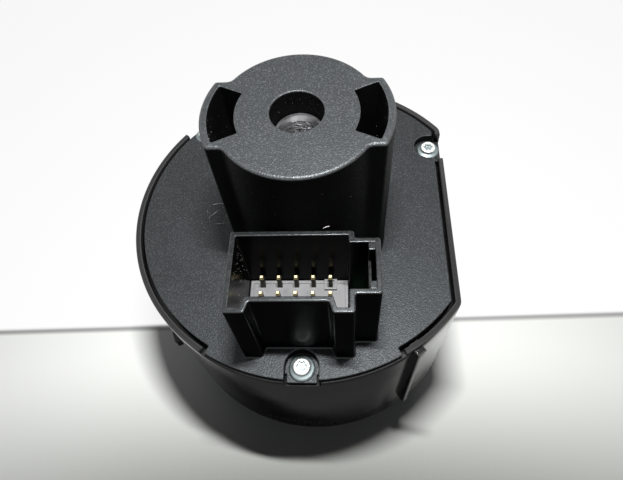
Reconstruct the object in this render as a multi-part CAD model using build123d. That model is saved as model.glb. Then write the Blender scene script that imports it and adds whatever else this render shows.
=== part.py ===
from build123d import *
import math
import os

# Rotary headlight switch, standing on the flat face of its knob.
# The origin is on the turning axis at the knob's face, +Z runs to the rear of the switch,
# +X is the side with the flat, and all sizes are in millimetres.

# Body outline and heights
body_radius = 30.0
flat_depth = 5.8
knob_reach = 9.5
bezel_height = 6.5
housing_height = 28.5
housing_wall = 2.2
deck_thickness = 2.0
bezel_edge_radius = 2.0

# Rear rim: a thin lip, a groove, and the cover's plate inside them
lip_width = 0.9
groove_width = 0.6
cover_thickness = 2.4
cover_edge_chamfer = 0.2
cover_flange_inset = 0.2
cover_flange_thickness = 1.0
cover_flange_half_angle = 30.0
cover_flange_gap_angle = 1.3
seat_clearance = 0.05

# Screws that hold the cover, each in a notch that is open to the edge
screw_edge_distance = 2.4
front_screw_angle = -90.4
side_screw_angle = 138.0
flat_screw_y = 13.6
notch_width = 5.1
notch_depth = 1.5
notch_side_clearance = 0.3
tab_inset = 0.2
tab_side_gap = 0.3
screw_flange_radius = 2.0
screw_flange_height = 0.6
screw_head_radius = 1.3
screw_head_height = 0.75
screw_shank_radius = 1.2
screw_shank_length = 9.0
screw_socket_width = 1.5
screw_socket_depth = 0.6
screw_hole_clearance = 0.25
pilot_clearance = 0.05
boss_radius = 2.9
boss_shelf_width = 1.4

# Outside of the housing
rib_angle = -55.0
rib_width = 1.0
rib_reach = 1.2
rib_top_drop = 0.8
rib_block_width = 1.9
rib_block_height = 1.8
lug_angles = (-155.0, 87.0)
lug_width = 2.8
lug_reach = 2.2
lug_height = 2.5

# Post on the cover, with an ear on each side and a pocket in each ear
post_x = 0.6
post_pin_distance = 13.4
post_height = 28.1
post_radius = 10.5
ear_radius = 12.3
ear_half_width = 5.65
ear_root_radius = 1.2
pocket_inner_radius = 7.9
pocket_outer_wall = 1.0
pocket_half_angle = 25.0
pocket_depth = 21.0
post_edge_radius = 0.4

# Threaded insert in the post
insert_radius = 3.4
insert_length = 8.0
insert_sink = 3.7
insert_clearance = 0.05
insert_chamfer = 0.8
thread_radius = 2.1
bore_below_radius = 2.6
bore_below_length = 5.0

# Connector shroud on the cover
shroud_height = 16.9
shroud_wall = 0.7
shroud_left_x = -8.8
shroud_right_x = 7.6
shroud_edge_distance = 5.2
shroud_leg_length = 1.5
left_leg_width = 2.75
right_leg_width = 2.75
leg_slant = 0.45
lever_channel_width = 3.4
lever_channel_back_step = 1.1
lever_channel_front_step = 1.0
lever_rib_thickness = 0.85
lever_block_length = 1.1
lever_window_depth = 3.1
shroud_edge_radius = 0.2

# Pins and their header
pin_pitch = 2.54
pin_columns = 5
pin_rows = 2
pin_width = 0.64
pin_field_x = -0.9
pin_front_distance = 7.2
pin_reach = 6.7
pin_tail = 0.8
pin_tip_taper = 18.0
pin_tip_length = 0.5
pin_clearance = 0.02
board_hole_radius = 0.5
header_clearance = 0.1
header_rim_width = 0.5
header_rim_height = 3.8

# Circuit board and what stands on it
board_thickness = 1.6
board_stack_share = 1 / 3
board_edge_clearance = 0.4
led_length = 3.0
led_width = 2.2
led_height = 0.8
led_gap = 0.2
chip_sizes = ((7.0, 5.0, 1.2), (3.2, 1.6, 0.6), (3.2, 1.6, 0.6), (2.0, 1.25, 0.5), (5.0, 4.0, 1.8))
chip_places = ((8.0, 6.0), (-12.0, 12.0), (-12.0, 16.0), (14.0, -10.0), (2.0, 19.0))
fog_switch_side = 7.6
fog_switch_rotor_gap = 1.0
fog_switch_bore_clearance = 0.4

# Bearing and rotor
rotor_neck_radius = 8.0
bush_running_clearance = 0.05
bush_wall = 1.9
bush_flange_width = 1.5
bush_flange_thickness = 0.6
hub_wall = 2.0
hub_stack_share = 10 / 27
bush_seat_clearance = 0.03
rotor_axial_clearance = 0.3
rotor_neck_reach = 2.2
rotor_height = 10.1
detent_rim_share = 0.55
detent_rim_width = 2.5
detent_rim_height = 3.4
detent_notch_radius = 1.5
detent_notch_depth = 0.8
detent_positions = (-30.0, 0.0, 30.0, 60.0)
shaft_socket_floor = 2.1
retainer_reach = 2.2
retainer_thickness = 0.8
retainer_groove_depth = 0.8
retainer_clearance = 0.1
retainer_gap_width = 9.0

# Stops of the rotor
stop_lug_inner = 12.8
stop_lug_width = 2.4
stop_lug_height = 1.6
stop_margin_angle = 1.5
stop_block_angle = 8.0

# Sprung leaf that rides in the notches
leaf_thickness = 0.35
leaf_width = 3.0
leaf_nose_gap = 0.1
leaf_arm = 9.0
leaf_lift = 3.6
leaf_post_width = 3.8
rivet_radius = 0.7
rivet_length = 2.4
rivet_clearance = 0.05
rivet_head_radius = 1.3
rivet_head_height = 0.5

# Wipers on the rotor
wiper_count = 3
wiper_edge_distance = 3.0
wiper_width = 2.0
wiper_thickness = 0.3
wiper_base_length = 4.0
wiper_arm_length = 6.0
wiper_board_gap = 0.1

# Knob, shaft and what is on them
knob_share = 0.5
knob_wall = 1.5
knob_face_thickness = 1.6
knob_skirt_depth = 3.5
knob_face_edge_radius = 0.8
flute_count = 30
flute_radius = 0.7
flute_sink = 0.35
core_thickness = 3.0
core_clearance = 0.1
shaft_width = 8.0
shaft_corner_radius = 1.0
shaft_clearance = 0.2
journal_radius = 3.0
washer_radius = 6.5
washer_thickness = 1.0
washer_bore_clearance = 0.6
washer_hole_clearance = 0.05
rivet_over_radius = 3.5
rivet_over_height = 0.6
pull_travel = 6.0
pull_steps = 2
pull_groove_depth = 0.5
pull_stop_margin = 0.3
pull_pin_radius = 1.2
pull_pin_board_gap = 0.6
wire_radius = 0.4
wire_slot_clearance = 0.15
wire_level = 1.6
wire_span = 9.0
pointer_length = 5.0
pointer_width = 1.8
pointer_edge_distance = 2.5
pointer_recess = 0.3
pointer_clearance = 0.05

# Dial and light guide behind the bezel's opening
bezel_lip_thickness = 1.2
bezel_opening_share = 0.72
dial_overlap = 0.6
dial_seat_clearance = 0.1
dial_thickness = 1.0
dial_hole_clearance = 0.8
guide_leg_edge_distance = 2.9
guide_leg_radius = 1.5
guide_leg_clearance = 0.3
guide_leg_count = 4
spigot_height = 1.2
spigot_width = 1.2
spigot_inset = 1.0
spigot_clearance = 0.1

# Sizes across the axis that follow from the body's radius
flat_distance = body_radius - flat_depth
screw_circle_radius = body_radius - screw_edge_distance
flat_screw_x = flat_distance - screw_edge_distance
shroud_front_y = shroud_edge_distance - body_radius
pin_field_y = shroud_front_y + pin_front_distance
post_y = pin_field_y + post_pin_distance
bezel_opening_radius = bezel_opening_share * body_radius
dial_radius = bezel_opening_radius + dial_overlap
guide_leg_circle = dial_radius - guide_leg_edge_distance
knob_radius = knob_share * body_radius
pointer_inner_radius = knob_radius - pointer_edge_distance - pointer_length
detent_rim_radius = detent_rim_share * body_radius
rotor_radius = detent_rim_radius - detent_rim_width
wiper_ring_radius = rotor_radius - wiper_edge_distance

# Room inside the housing that the fixed pieces leave, shared by the hub, the wipers and the board's rear
fixed_stack = cover_thickness + board_thickness + rotor_height + rotor_axial_clearance + bush_flange_thickness
free_stack = housing_height - fixed_stack
hub_height = hub_stack_share * free_stack
board_depth_below_cover = board_stack_share * free_stack
rotor_board_gap = free_stack - hub_height - board_depth_below_cover
fog_switch_height = rotor_board_gap - fog_switch_rotor_gap
pull_pin_length = rotor_board_gap - pull_pin_board_gap

# Levels along the axis that follow from the sizes above
bezel_front_z = knob_reach
deck_front_z = bezel_front_z + bezel_height
deck_back_z = deck_front_z + deck_thickness
cover_face_z = deck_front_z + housing_height
cover_back_z = cover_face_z - cover_thickness
board_back_z = cover_back_z - board_depth_below_cover
board_front_z = board_back_z - board_thickness
post_top_z = cover_face_z + post_height
shroud_top_z = cover_face_z + shroud_height
insert_top_z = post_top_z - insert_sink
notch_floor_z = cover_face_z - notch_depth
hub_back_z = deck_front_z + hub_height
rotor_front_z = hub_back_z + bush_flange_thickness + rotor_axial_clearance
rotor_back_z = rotor_front_z + rotor_height
neck_front_z = deck_front_z - rotor_neck_reach
socket_floor_z = rotor_front_z + shaft_socket_floor
washer_front_z = socket_floor_z + pull_travel + pull_stop_margin
washer_back_z = washer_front_z + washer_thickness
wire_z = rotor_front_z + wire_level
leaf_z = rotor_front_z + (detent_rim_height - leaf_width) / 2
shroud_back_y = post_y - post_radius
bush_radius = rotor_neck_radius + bush_running_clearance + bush_wall
hub_radius = bush_radius + hub_wall
skirt_back_z = knob_reach + knob_skirt_depth
nose_radius = detent_rim_radius - detent_notch_depth + leaf_nose_gap
leaf_x = -(nose_radius + leaf_lift)
leaf_seat_x = leaf_x - leaf_thickness / 2
wire_offset = shaft_width / 2 - pull_groove_depth + wire_radius


def prism(sketch, bottom, top):
    """Raise a flat outline from one level to another."""
    return Pos(0, 0, bottom) * extrude(sketch, top - bottom)


def ring(inner, outer, bottom, top):
    """A plain ring round the axis."""
    return prism(Circle(outer) - Circle(inner), bottom, top)


def body_outline(inset):
    """The round outline with its flat, moved inwards by inset."""
    side = 2 * body_radius
    kept = Pos(flat_distance - inset - body_radius, 0) * Rectangle(side, side)
    return Circle(body_radius - inset) & kept


def wedge(middle_angle, half_angle):
    """A flat triangle from the axis that reaches past the body."""
    reach = 2 * body_radius
    spread = reach * math.tan(math.radians(half_angle))
    triangle = Polygon((0, 0), (reach, -spread), (reach, spread), align=None)
    return Rot(0, 0, middle_angle) * triangle


def screw_places():
    """Centre of each cover screw and the direction in which its notch opens."""
    places = []
    for angle in (front_screw_angle, side_screw_angle):
        x = screw_circle_radius * math.cos(math.radians(angle))
        y = screw_circle_radius * math.sin(math.radians(angle))
        places.append((x, y, angle))
    places.append((flat_screw_x, flat_screw_y, 0.0))
    return places


def notch_outline(place, side_clearance):
    """A slot with a round end about the screw, open to the edge."""
    x, y, angle = place
    width = notch_width + 2 * side_clearance
    slot = Circle(width / 2) + Pos(body_radius / 2, 0) * Rectangle(body_radius, width)
    return Pos(x, y) * Rot(0, 0, angle) * slot


def post_outline():
    """The round post with its two ears, which meet it in hollow roots."""
    ears = Circle(ear_radius) & Rectangle(2 * ear_radius, 2 * ear_half_width)
    wide = offset(Circle(post_radius) + ears, ear_root_radius)
    return Pos(post_x, post_y) * offset(wide, -ear_root_radius)


def pocket_outline(middle_angle):
    """The curved pocket in one ear."""
    band = Circle(ear_radius - pocket_outer_wall) - Circle(pocket_inner_radius)
    return Pos(post_x, post_y) * (band & wedge(middle_angle, pocket_half_angle))


def main_cavity_outline(inset):
    """The plug's main space with its two legs, as the shroud's outline moved inwards."""
    left = shroud_left_x + inset
    right = shroud_right_x - inset
    back = shroud_back_y - inset
    front = shroud_front_y + inset
    leg = front - shroud_leg_length
    left_leg = shroud_left_x + left_leg_width - inset
    right_leg = shroud_right_x - right_leg_width + inset
    return Polygon(
        (left, back),
        (left, leg),
        (left_leg, leg),
        (left_leg + leg_slant, front),
        (right_leg - leg_slant, front),
        (right_leg, leg),
        (right, leg),
        (right, back),
        align=None,
    )


def channel_outline(inset):
    """The space for the plug's locking lever, beside the main space."""
    inner = shroud_right_x - 2 * shroud_wall
    outer = shroud_right_x + lever_channel_width - inset
    back = shroud_back_y - lever_channel_back_step - inset
    front = shroud_front_y + lever_channel_front_step + inset
    middle = Pos((inner + outer) / 2, (back + front) / 2)
    return middle * Rectangle(outer - inner, back - front)


def lever_guide():
    """Thicker inner wall of the lever channel, cut down between two end blocks."""
    outer = shroud_right_x + lever_channel_width - shroud_wall
    back = shroud_back_y - lever_channel_back_step - shroud_wall
    front = shroud_front_y + lever_channel_front_step + shroud_wall
    x = outer - lever_rib_thickness / 2
    y = (back + front) / 2
    length = back - front
    wall = prism(Pos(x, y) * Rectangle(lever_rib_thickness, length), cover_back_z, shroud_top_z)
    opening = Pos(x, y) * Rectangle(lever_rib_thickness, length - 2 * lever_block_length)
    return wall - prism(opening, shroud_top_z - lever_window_depth, shroud_top_z)


def rear_cover():
    """Cover plate with its post, its connector shroud and its three screw notches."""
    plate = prism(body_outline(lip_width + groove_width), cover_back_z, cover_face_z)
    flange_face = body_outline(cover_flange_inset) & wedge(front_screw_angle, cover_flange_half_angle)
    plate += prism(flange_face, cover_face_z - cover_flange_thickness, cover_face_z)
    plate = chamfer(plate.edges().group_by(Axis.Z)[-1], cover_edge_chamfer)
    for place in screw_places():
        tab = notch_outline(place, -tab_side_gap) & body_outline(tab_inset)
        plate += prism(tab, cover_back_z, notch_floor_z)
        plate -= prism(notch_outline(place, 0), notch_floor_z, cover_face_z)
        hole = Pos(place[0], place[1]) * Circle(screw_shank_radius + screw_hole_clearance)
        plate -= prism(hole, cover_back_z, cover_face_z)
    post = prism(post_outline(), cover_back_z, post_top_z)
    post = fillet(post.edges().group_by(Axis.Z)[-1], post_edge_radius)
    for middle_angle in (0.0, 180.0):
        post -= prism(pocket_outline(middle_angle), post_top_z - pocket_depth, post_top_z)
    shroud = prism(main_cavity_outline(0) + channel_outline(0), cover_back_z, shroud_top_z)
    shroud = fillet(shroud.edges().group_by(Axis.Z)[-1], shroud_edge_radius)
    cavity = prism(main_cavity_outline(shroud_wall), cover_back_z, shroud_top_z)
    cavity += prism(channel_outline(shroud_wall), cover_face_z, shroud_top_z)
    cover = plate + post + shroud
    cover -= cavity
    cover += lever_guide()
    seat_bottom = insert_top_z - insert_length
    post_middle = Pos(post_x, post_y)
    cover -= prism(post_middle * Circle(insert_radius + insert_clearance), seat_bottom, post_top_z)
    cover -= prism(post_middle * Circle(bore_below_radius), seat_bottom - bore_below_length, seat_bottom)
    return cover


def threaded_insert():
    """Metal sleeve pressed into the post's bore, with its thread's core bore."""
    bottom = insert_top_z - insert_length
    body = prism(Circle(insert_radius), bottom, insert_top_z)
    lead_in = Cone(thread_radius, thread_radius + insert_chamfer, insert_chamfer)
    body -= prism(Circle(thread_radius), bottom, insert_top_z)
    body -= Pos(0, 0, insert_top_z - insert_chamfer / 2) * lead_in
    return Pos(post_x, post_y) * body


def cover_screws():
    """Three flanged screws, each with its head in a notch of the cover."""
    flange_top = notch_floor_z + screw_flange_height
    head_top = flange_top + screw_head_height
    screw = prism(Circle(screw_shank_radius), notch_floor_z - screw_shank_length, notch_floor_z)
    screw += prism(Circle(screw_flange_radius), notch_floor_z, flange_top)
    screw += prism(Circle(screw_head_radius), flange_top, head_top)
    socket = RegularPolygon(screw_socket_width / 2, 6, major_radius=False)
    screw -= prism(socket, head_top - screw_socket_depth, head_top)
    screw = chamfer(screw.edges().group_by(Axis.Z)[-2], screw_flange_height / 3)
    return Compound(children=[Pos(x, y, 0) * screw for x, y, _ in screw_places()])


def screw_boss(place):
    """Column for one cover screw, with a shelf on which the board rests."""
    x, y, _ = place
    middle = Pos(x, y)
    shelf = middle * Circle(boss_radius + boss_shelf_width)
    column = prism(middle * Circle(boss_radius), deck_front_z, cover_back_z)
    return column + prism(shelf, deck_front_z, board_front_z)


def stop_blocks():
    """Two blocks on the deck that end the rotor's turn."""
    band = Circle(detent_rim_radius) - Circle(stop_lug_inner)
    half = math.degrees(stop_lug_width / 2 / stop_lug_inner) + stop_margin_angle + stop_block_angle / 2
    low = min(detent_positions) - half
    high = max(detent_positions) + half
    top = rotor_front_z - rotor_axial_clearance
    blocks = [prism(band & wedge(angle, stop_block_angle / 2), deck_front_z, top) for angle in (low, high)]
    return blocks[0] + blocks[1]


def leaf_post():
    """Square post on the deck that carries the sprung leaf."""
    middle = Pos(leaf_seat_x - leaf_post_width / 2, leaf_arm - leaf_post_width / 2)
    return prism(middle * Rectangle(leaf_post_width, leaf_post_width), deck_front_z, leaf_z + leaf_width)


def rivet_bar(radius, start, length):
    """Round bar across the leaf at its rivet, running towards the wall."""
    place = Pos(start - length / 2, leaf_arm - leaf_post_width / 2, leaf_z + leaf_width / 2)
    return place * Rot(0, 90, 0) * Cylinder(radius, length)


def outer_rib():
    """Upright rib on the outside of the wall, with a wider block at its top."""
    reach = body_radius + rib_reach
    top = cover_face_z - rib_top_drop
    bar = Pos(reach / 2, (rib_width - rib_block_width) / 2) * Rectangle(reach, rib_width)
    block = Pos(reach / 2, 0) * Rectangle(reach, rib_block_width)
    rib = prism(Rot(0, 0, rib_angle) * bar, deck_front_z, top)
    return rib + prism(Rot(0, 0, rib_angle) * block, top - rib_block_height, top)


def outer_lug(angle):
    """Short retaining lug at the front end of the wall."""
    reach = body_radius + lug_reach
    bar = Pos(reach / 2, 0) * Rectangle(reach, lug_width)
    return prism(Rot(0, 0, angle) * bar, deck_front_z, deck_front_z + lug_height)


def guide_leg_places():
    """Centres of the light guide's legs."""
    step = 360 / guide_leg_count
    angles = [math.radians(step * (index + 0.5)) for index in range(guide_leg_count)]
    return [(guide_leg_circle * math.cos(a), guide_leg_circle * math.sin(a)) for a in angles]


def housing_shell():
    """Cup-shaped housing with its lip, bosses, hub, stops, rib and lugs."""
    shell = prism(body_outline(0), deck_front_z, cover_face_z)
    shell += outer_rib()
    for angle in lug_angles:
        shell += outer_lug(angle)
    shell -= prism(body_outline(housing_wall), deck_back_z, cover_face_z)
    shell -= prism(body_outline(lip_width), cover_back_z, cover_face_z)
    outside = body_outline(0)
    for place in screw_places():
        shell += screw_boss(place) & prism(outside, deck_front_z, cover_back_z)
        lip_opening = notch_outline(place, notch_side_clearance)
        shell -= prism(lip_opening, cover_back_z, cover_face_z)
        pilot = Pos(place[0], place[1]) * Circle(screw_shank_radius + pilot_clearance)
        shell -= prism(pilot, notch_floor_z - screw_shank_length - 1, cover_back_z)
    flange_room = wedge(front_screw_angle, cover_flange_half_angle + cover_flange_gap_angle)
    flange_room -= Circle(body_radius - housing_wall)
    shell -= prism(flange_room, cover_face_z - cover_flange_thickness - seat_clearance, cover_face_z)
    shell += prism(Circle(hub_radius), deck_front_z, hub_back_z)
    shell -= prism(Circle(bush_radius + bush_seat_clearance), deck_front_z, hub_back_z)
    for x, y in guide_leg_places():
        shell -= prism(Pos(x, y) * Circle(guide_leg_radius + guide_leg_clearance), deck_front_z, deck_back_z)
    shell += stop_blocks()
    shell += leaf_post()
    shell -= rivet_bar(rivet_radius + rivet_clearance, leaf_seat_x, rivet_length + rivet_clearance)
    shell -= prism(spigot_ring(spigot_clearance), deck_front_z, deck_front_z + spigot_height + spigot_clearance)
    return shell


def spigot_ring(clearance):
    """Flat outline of the bezel's locating rim."""
    outer = body_outline(spigot_inset - clearance)
    return outer - body_outline(spigot_inset + spigot_width + clearance)


def front_bezel():
    """Front bezel with its round opening, a seat for the dial and a locating rim."""
    bezel = prism(body_outline(0), bezel_front_z, deck_front_z)
    bezel = fillet(bezel.edges().group_by(Axis.Z)[0], bezel_edge_radius)
    bezel -= prism(Circle(bezel_opening_radius), bezel_front_z, deck_front_z)
    bezel -= prism(Circle(dial_radius + dial_seat_clearance), bezel_front_z + bezel_lip_thickness, deck_front_z)
    return bezel + prism(spigot_ring(0), deck_front_z, deck_front_z + spigot_height)


def dial_face():
    """Flat dial ring that rests against the bezel's lip."""
    front = bezel_front_z + bezel_lip_thickness
    return ring(knob_radius + dial_hole_clearance, dial_radius, front, front + dial_thickness)


def light_guide():
    """Clear ring behind the dial with four legs that reach back to the lamps on the board."""
    front = bezel_front_z + bezel_lip_thickness + dial_thickness
    guide = ring(knob_radius + dial_hole_clearance, dial_radius, front, deck_front_z)
    leg_end = board_front_z - led_height - led_gap
    for x, y in guide_leg_places():
        guide += prism(Pos(x, y) * Circle(guide_leg_radius), front, leg_end)
    return guide


def circuit_board():
    """Board that rests on the bosses' shelves, with a hole for each pin."""
    outline = body_outline(housing_wall + board_edge_clearance)
    for x, y, _ in screw_places():
        outline -= Pos(x, y) * Circle(boss_radius + board_edge_clearance)
    board = prism(outline, board_front_z, board_back_z)
    for x, y in pin_places():
        board -= prism(Pos(x, y) * Circle(board_hole_radius), board_front_z, board_back_z)
    return board


def board_lamps():
    """One small lamp under the end of each light guide leg."""
    lamps = []
    for x, y in guide_leg_places():
        turn = math.degrees(math.atan2(y, x))
        lamp = Pos(x, y) * Rot(0, 0, turn) * Rectangle(led_width, led_length)
        lamps.append(prism(lamp, board_front_z - led_height, board_front_z))
    return Compound(children=lamps)


def board_components():
    """Small parts on the rear of the board."""
    parts = []
    for (length, width, height), (x, y) in zip(chip_sizes, chip_places):
        parts.append(prism(Pos(x, y) * Rectangle(length, width), board_back_z, board_back_z + height))
    return Compound(children=parts)


def fog_switch():
    """Switch block on the board that the shaft's pin reaches into."""
    front = board_front_z - fog_switch_height
    block = prism(Rectangle(fog_switch_side, fog_switch_side), front, board_front_z)
    return block - prism(Circle(pull_pin_radius + fog_switch_bore_clearance), front, board_front_z)


def pin_places():
    """Centres of the pins, row by row."""
    places = []
    for row in range(pin_rows):
        for column in range(pin_columns):
            x = pin_field_x + (column - (pin_columns - 1) / 2) * pin_pitch
            y = pin_field_y + (row - (pin_rows - 1) / 2) * pin_pitch
            places.append((x, y))
    return places


def pin_header():
    """Block that carries the pins, with a low rim inside the shroud."""
    inset = shroud_wall + header_clearance
    block = prism(main_cavity_outline(inset), board_back_z, cover_face_z + header_rim_height)
    margin = inset + header_rim_width
    left = shroud_left_x + margin
    right = shroud_right_x - margin
    back = shroud_back_y - margin
    front = shroud_front_y + margin
    well = Pos((left + right) / 2, (back + front) / 2) * Rectangle(right - left, back - front)
    block -= prism(well, cover_face_z, cover_face_z + header_rim_height)
    hole_width = pin_width + 2 * pin_clearance
    for x, y in pin_places():
        block -= prism(Pos(x, y) * Rectangle(hole_width, hole_width), board_back_z, cover_face_z)
    return block


def contact_pins():
    """Square pins with tapered tips, all of one length."""
    bottom = board_front_z - pin_tail
    tip_start = cover_face_z + pin_reach - pin_tip_length
    pin = prism(Rectangle(pin_width, pin_width), bottom, tip_start)
    pin += Pos(0, 0, tip_start) * extrude(Rectangle(pin_width, pin_width), pin_tip_length, taper=pin_tip_taper)
    return Compound(children=[Pos(x, y, 0) * pin for x, y in pin_places()])


def bearing_bush():
    """Flanged bush in the hub, in which the rotor's neck turns."""
    inner = rotor_neck_radius + bush_running_clearance
    bush = ring(inner, bush_radius, deck_front_z, hub_back_z + bush_flange_thickness)
    return bush + ring(inner, bush_radius + bush_flange_width, hub_back_z, hub_back_z + bush_flange_thickness)


def detent_rim():
    """Rim of the rotor with one notch for each position of the knob."""
    rim = Circle(detent_rim_radius)
    centre = detent_rim_radius - detent_notch_depth + detent_notch_radius
    for position in detent_positions:
        rim -= Rot(0, 0, 180 - position) * Pos(centre, 0) * Circle(detent_notch_radius)
    return prism(rim, rotor_front_z, rotor_front_z + detent_rim_height)


def shaft_outline(clearance):
    """Square outline with round corners, shared by the shaft and its socket."""
    side = shaft_width + 2 * clearance
    return RectangleRounded(side, side, shaft_corner_radius + clearance)


def cross_bars(radius, length, level):
    """Two round bars across the shaft, one on each side of it."""
    bar = Rot(0, 90, 0) * Cylinder(radius, length)
    return [Pos(0, side * wire_offset, level) * bar for side in (-1, 1)]


def rotor():
    """Rotor with its neck, detent rim, square socket and stop lug."""
    body = prism(Circle(rotor_neck_radius), neck_front_z, rotor_front_z)
    body += prism(Circle(rotor_radius), rotor_front_z, rotor_back_z)
    body += detent_rim()
    lug_length = detent_rim_radius - stop_lug_inner
    lug = Pos(stop_lug_inner + lug_length / 2, 0) * Rectangle(lug_length, stop_lug_width)
    body += prism(lug, rotor_front_z - stop_lug_height, rotor_front_z)
    body -= prism(shaft_outline(shaft_clearance), neck_front_z, socket_floor_z)
    body -= prism(Circle(washer_radius + washer_bore_clearance), socket_floor_z, rotor_back_z)
    groove_top = deck_front_z - rotor_axial_clearance
    groove_bottom = groove_top - retainer_thickness
    groove_radius = rotor_neck_radius - retainer_groove_depth
    body -= ring(groove_radius, rotor_neck_radius, groove_bottom, groove_top)
    for slot in cross_bars(wire_radius + wire_slot_clearance, wire_span + 2 * wire_slot_clearance, wire_z):
        body -= slot
    return body


def rotor_retainer():
    """Open ring in the neck's groove, which keeps the rotor in its bush."""
    top = deck_front_z - rotor_axial_clearance
    inner = rotor_neck_radius - retainer_groove_depth + retainer_clearance
    clip = ring(inner, rotor_neck_radius + retainer_reach, top - retainer_thickness, top)
    opening = Pos(0, -rotor_neck_radius) * Rectangle(retainer_gap_width, 2 * rotor_neck_radius)
    return clip - prism(opening, top - retainer_thickness, top)


def pull_wire():
    """Two sprung wires in the rotor that snap into the shaft's grooves."""
    return Compound(children=cross_bars(wire_radius, wire_span, wire_z))


def wiper_contacts():
    """Sprung fingers on the rotor's rear face that bear on the board's tracks."""
    rise = board_front_z - wiper_board_gap - rotor_back_z
    profile = Polyline(
        (0, 0),
        (wiper_base_length, 0),
        (wiper_base_length + wiper_arm_length, rise - 2 * wiper_thickness),
        (wiper_base_length + wiper_arm_length + wiper_thickness, rise - 3 * wiper_thickness),
    )
    strip = make_face(offset(profile, wiper_thickness / 2, side=Side.BOTH))
    finger = extrude(Plane.XZ * strip, wiper_width / 2, both=True)
    fingers = []
    for index in range(wiper_count):
        start = Pos(-(wiper_base_length + wiper_arm_length) / 2, wiper_ring_radius, rotor_back_z)
        seat = Pos(0, 0, wiper_thickness / 2)
        fingers.append(Rot(0, 0, 360 * index / wiper_count) * start * seat * finger)
    return Compound(children=fingers)


def detent_leaf():
    """Bent leaf whose nose rests in the notch of the knob's position."""
    half = detent_notch_radius
    line = Polyline(
        (leaf_x, leaf_arm),
        (leaf_x, half + leaf_lift / 2),
        (leaf_x + leaf_lift - leaf_thickness, 0),
        (leaf_x, -half - leaf_lift / 2),
        (leaf_x, -leaf_arm / 2),
    )
    strip = make_face(offset(line, leaf_thickness / 2, side=Side.BOTH))
    leaf = prism(strip, leaf_z, leaf_z + leaf_width)
    return leaf - rivet_bar(rivet_radius + rivet_clearance, leaf_x + leaf_thickness, 2 * leaf_thickness)


def leaf_rivet():
    """Rivet that holds the leaf to its post."""
    leaf_front = leaf_x + leaf_thickness / 2
    head = rivet_bar(rivet_head_radius, leaf_front + rivet_head_height, rivet_head_height)
    return head + rivet_bar(rivet_radius, leaf_front, leaf_thickness + rivet_length)


def knob_cap():
    """Fluted cap of the knob, open to the rear, with a slot for the pointer."""
    cap = prism(Circle(knob_radius), 0, skirt_back_z)
    cap = fillet(cap.edges().group_by(Axis.Z)[0], knob_face_edge_radius)
    cap -= prism(Circle(knob_radius - knob_wall), knob_face_thickness, skirt_back_z)
    flute_centre = knob_radius + flute_radius - flute_sink
    for index in range(flute_count):
        flute = Rot(0, 0, 360 * index / flute_count) * Pos(flute_centre, 0) * Circle(flute_radius)
        cap -= prism(flute, knob_face_edge_radius, knob_reach)
    return cap - prism(pointer_outline(pointer_clearance), 0, knob_face_thickness)


def pointer_outline(clearance):
    """Outline of the knob's pointer window."""
    middle = Pos(0, pointer_inner_radius + pointer_length / 2)
    return middle * Rectangle(pointer_width + 2 * clearance, pointer_length + 2 * clearance)


def pointer_lens():
    """Translucent bar in the knob's face, a little below it."""
    return prism(pointer_outline(0), pointer_recess, knob_face_thickness)


def knob_core():
    """Disc inside the cap, with the square shaft, its grooves and its end pin."""
    disc_back = knob_face_thickness + core_thickness
    core = prism(Circle(knob_radius - knob_wall - core_clearance), knob_face_thickness, disc_back)
    core += prism(shaft_outline(0), disc_back, washer_front_z)
    for step in range(pull_steps + 1):
        level = wire_z + step * pull_travel / pull_steps
        for groove in cross_bars(wire_radius, 2 * shaft_width, level):
            core -= groove
    core += prism(Circle(journal_radius), washer_front_z, washer_back_z)
    core += prism(Circle(rivet_over_radius), washer_back_z, washer_back_z + rivet_over_height)
    pin_start = washer_back_z + rivet_over_height
    return core + prism(Circle(pull_pin_radius), pin_start, pin_start + pull_pin_length)


def shaft_washer():
    """Washer staked on the shaft's end, which stops the knob when it is pulled."""
    return ring(journal_radius + washer_hole_clearance, washer_radius, washer_front_z, washer_back_z)


nodes = {
    "housing_shell": housing_shell,
    "rear_cover": rear_cover,
    "threaded_insert": threaded_insert,
    "cover_screws": cover_screws,
    "pin_header": pin_header,
    "contact_pins": contact_pins,
    "circuit_board": circuit_board,
    "board_lamps": board_lamps,
    "board_components": board_components,
    "fog_switch": fog_switch,
    "bearing_bush": bearing_bush,
    "detent_leaf": detent_leaf,
    "leaf_rivet": leaf_rivet,
    "light_guide": light_guide,
    "dial_face": dial_face,
    "front_bezel": front_bezel,
    "rotor": rotor,
    "rotor_retainer": rotor_retainer,
    "pull_wire": pull_wire,
    "wiper_contacts": wiper_contacts,
    "knob_cap": knob_cap,
    "knob_core": knob_core,
    "shaft_washer": shaft_washer,
    "pointer_lens": pointer_lens,
}

os.makedirs("parts", exist_ok=True)
for name, build in nodes.items():
    export_step(build(), "parts/" + name + ".step")
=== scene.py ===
import logging
import math
from dataclasses import dataclass, field, replace
from enum import Enum
from functools import cached_property

import bmesh
import bpy
import numpy as np
from mathutils import Matrix
from mathutils.geometry import tessellate_polygon


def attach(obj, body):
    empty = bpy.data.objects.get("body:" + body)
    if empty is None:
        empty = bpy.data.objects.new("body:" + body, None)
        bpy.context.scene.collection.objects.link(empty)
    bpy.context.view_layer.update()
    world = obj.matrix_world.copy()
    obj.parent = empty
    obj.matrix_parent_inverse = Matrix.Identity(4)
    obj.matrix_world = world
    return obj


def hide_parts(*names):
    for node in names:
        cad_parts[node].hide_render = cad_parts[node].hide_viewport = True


# A rotary headlight switch that stands on its knob. All sizes are in millimetres until a mesh is made.
# The origin is on the turning axis at the knob's face. +Z runs to the rear, +X to the side with the flat.

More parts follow.
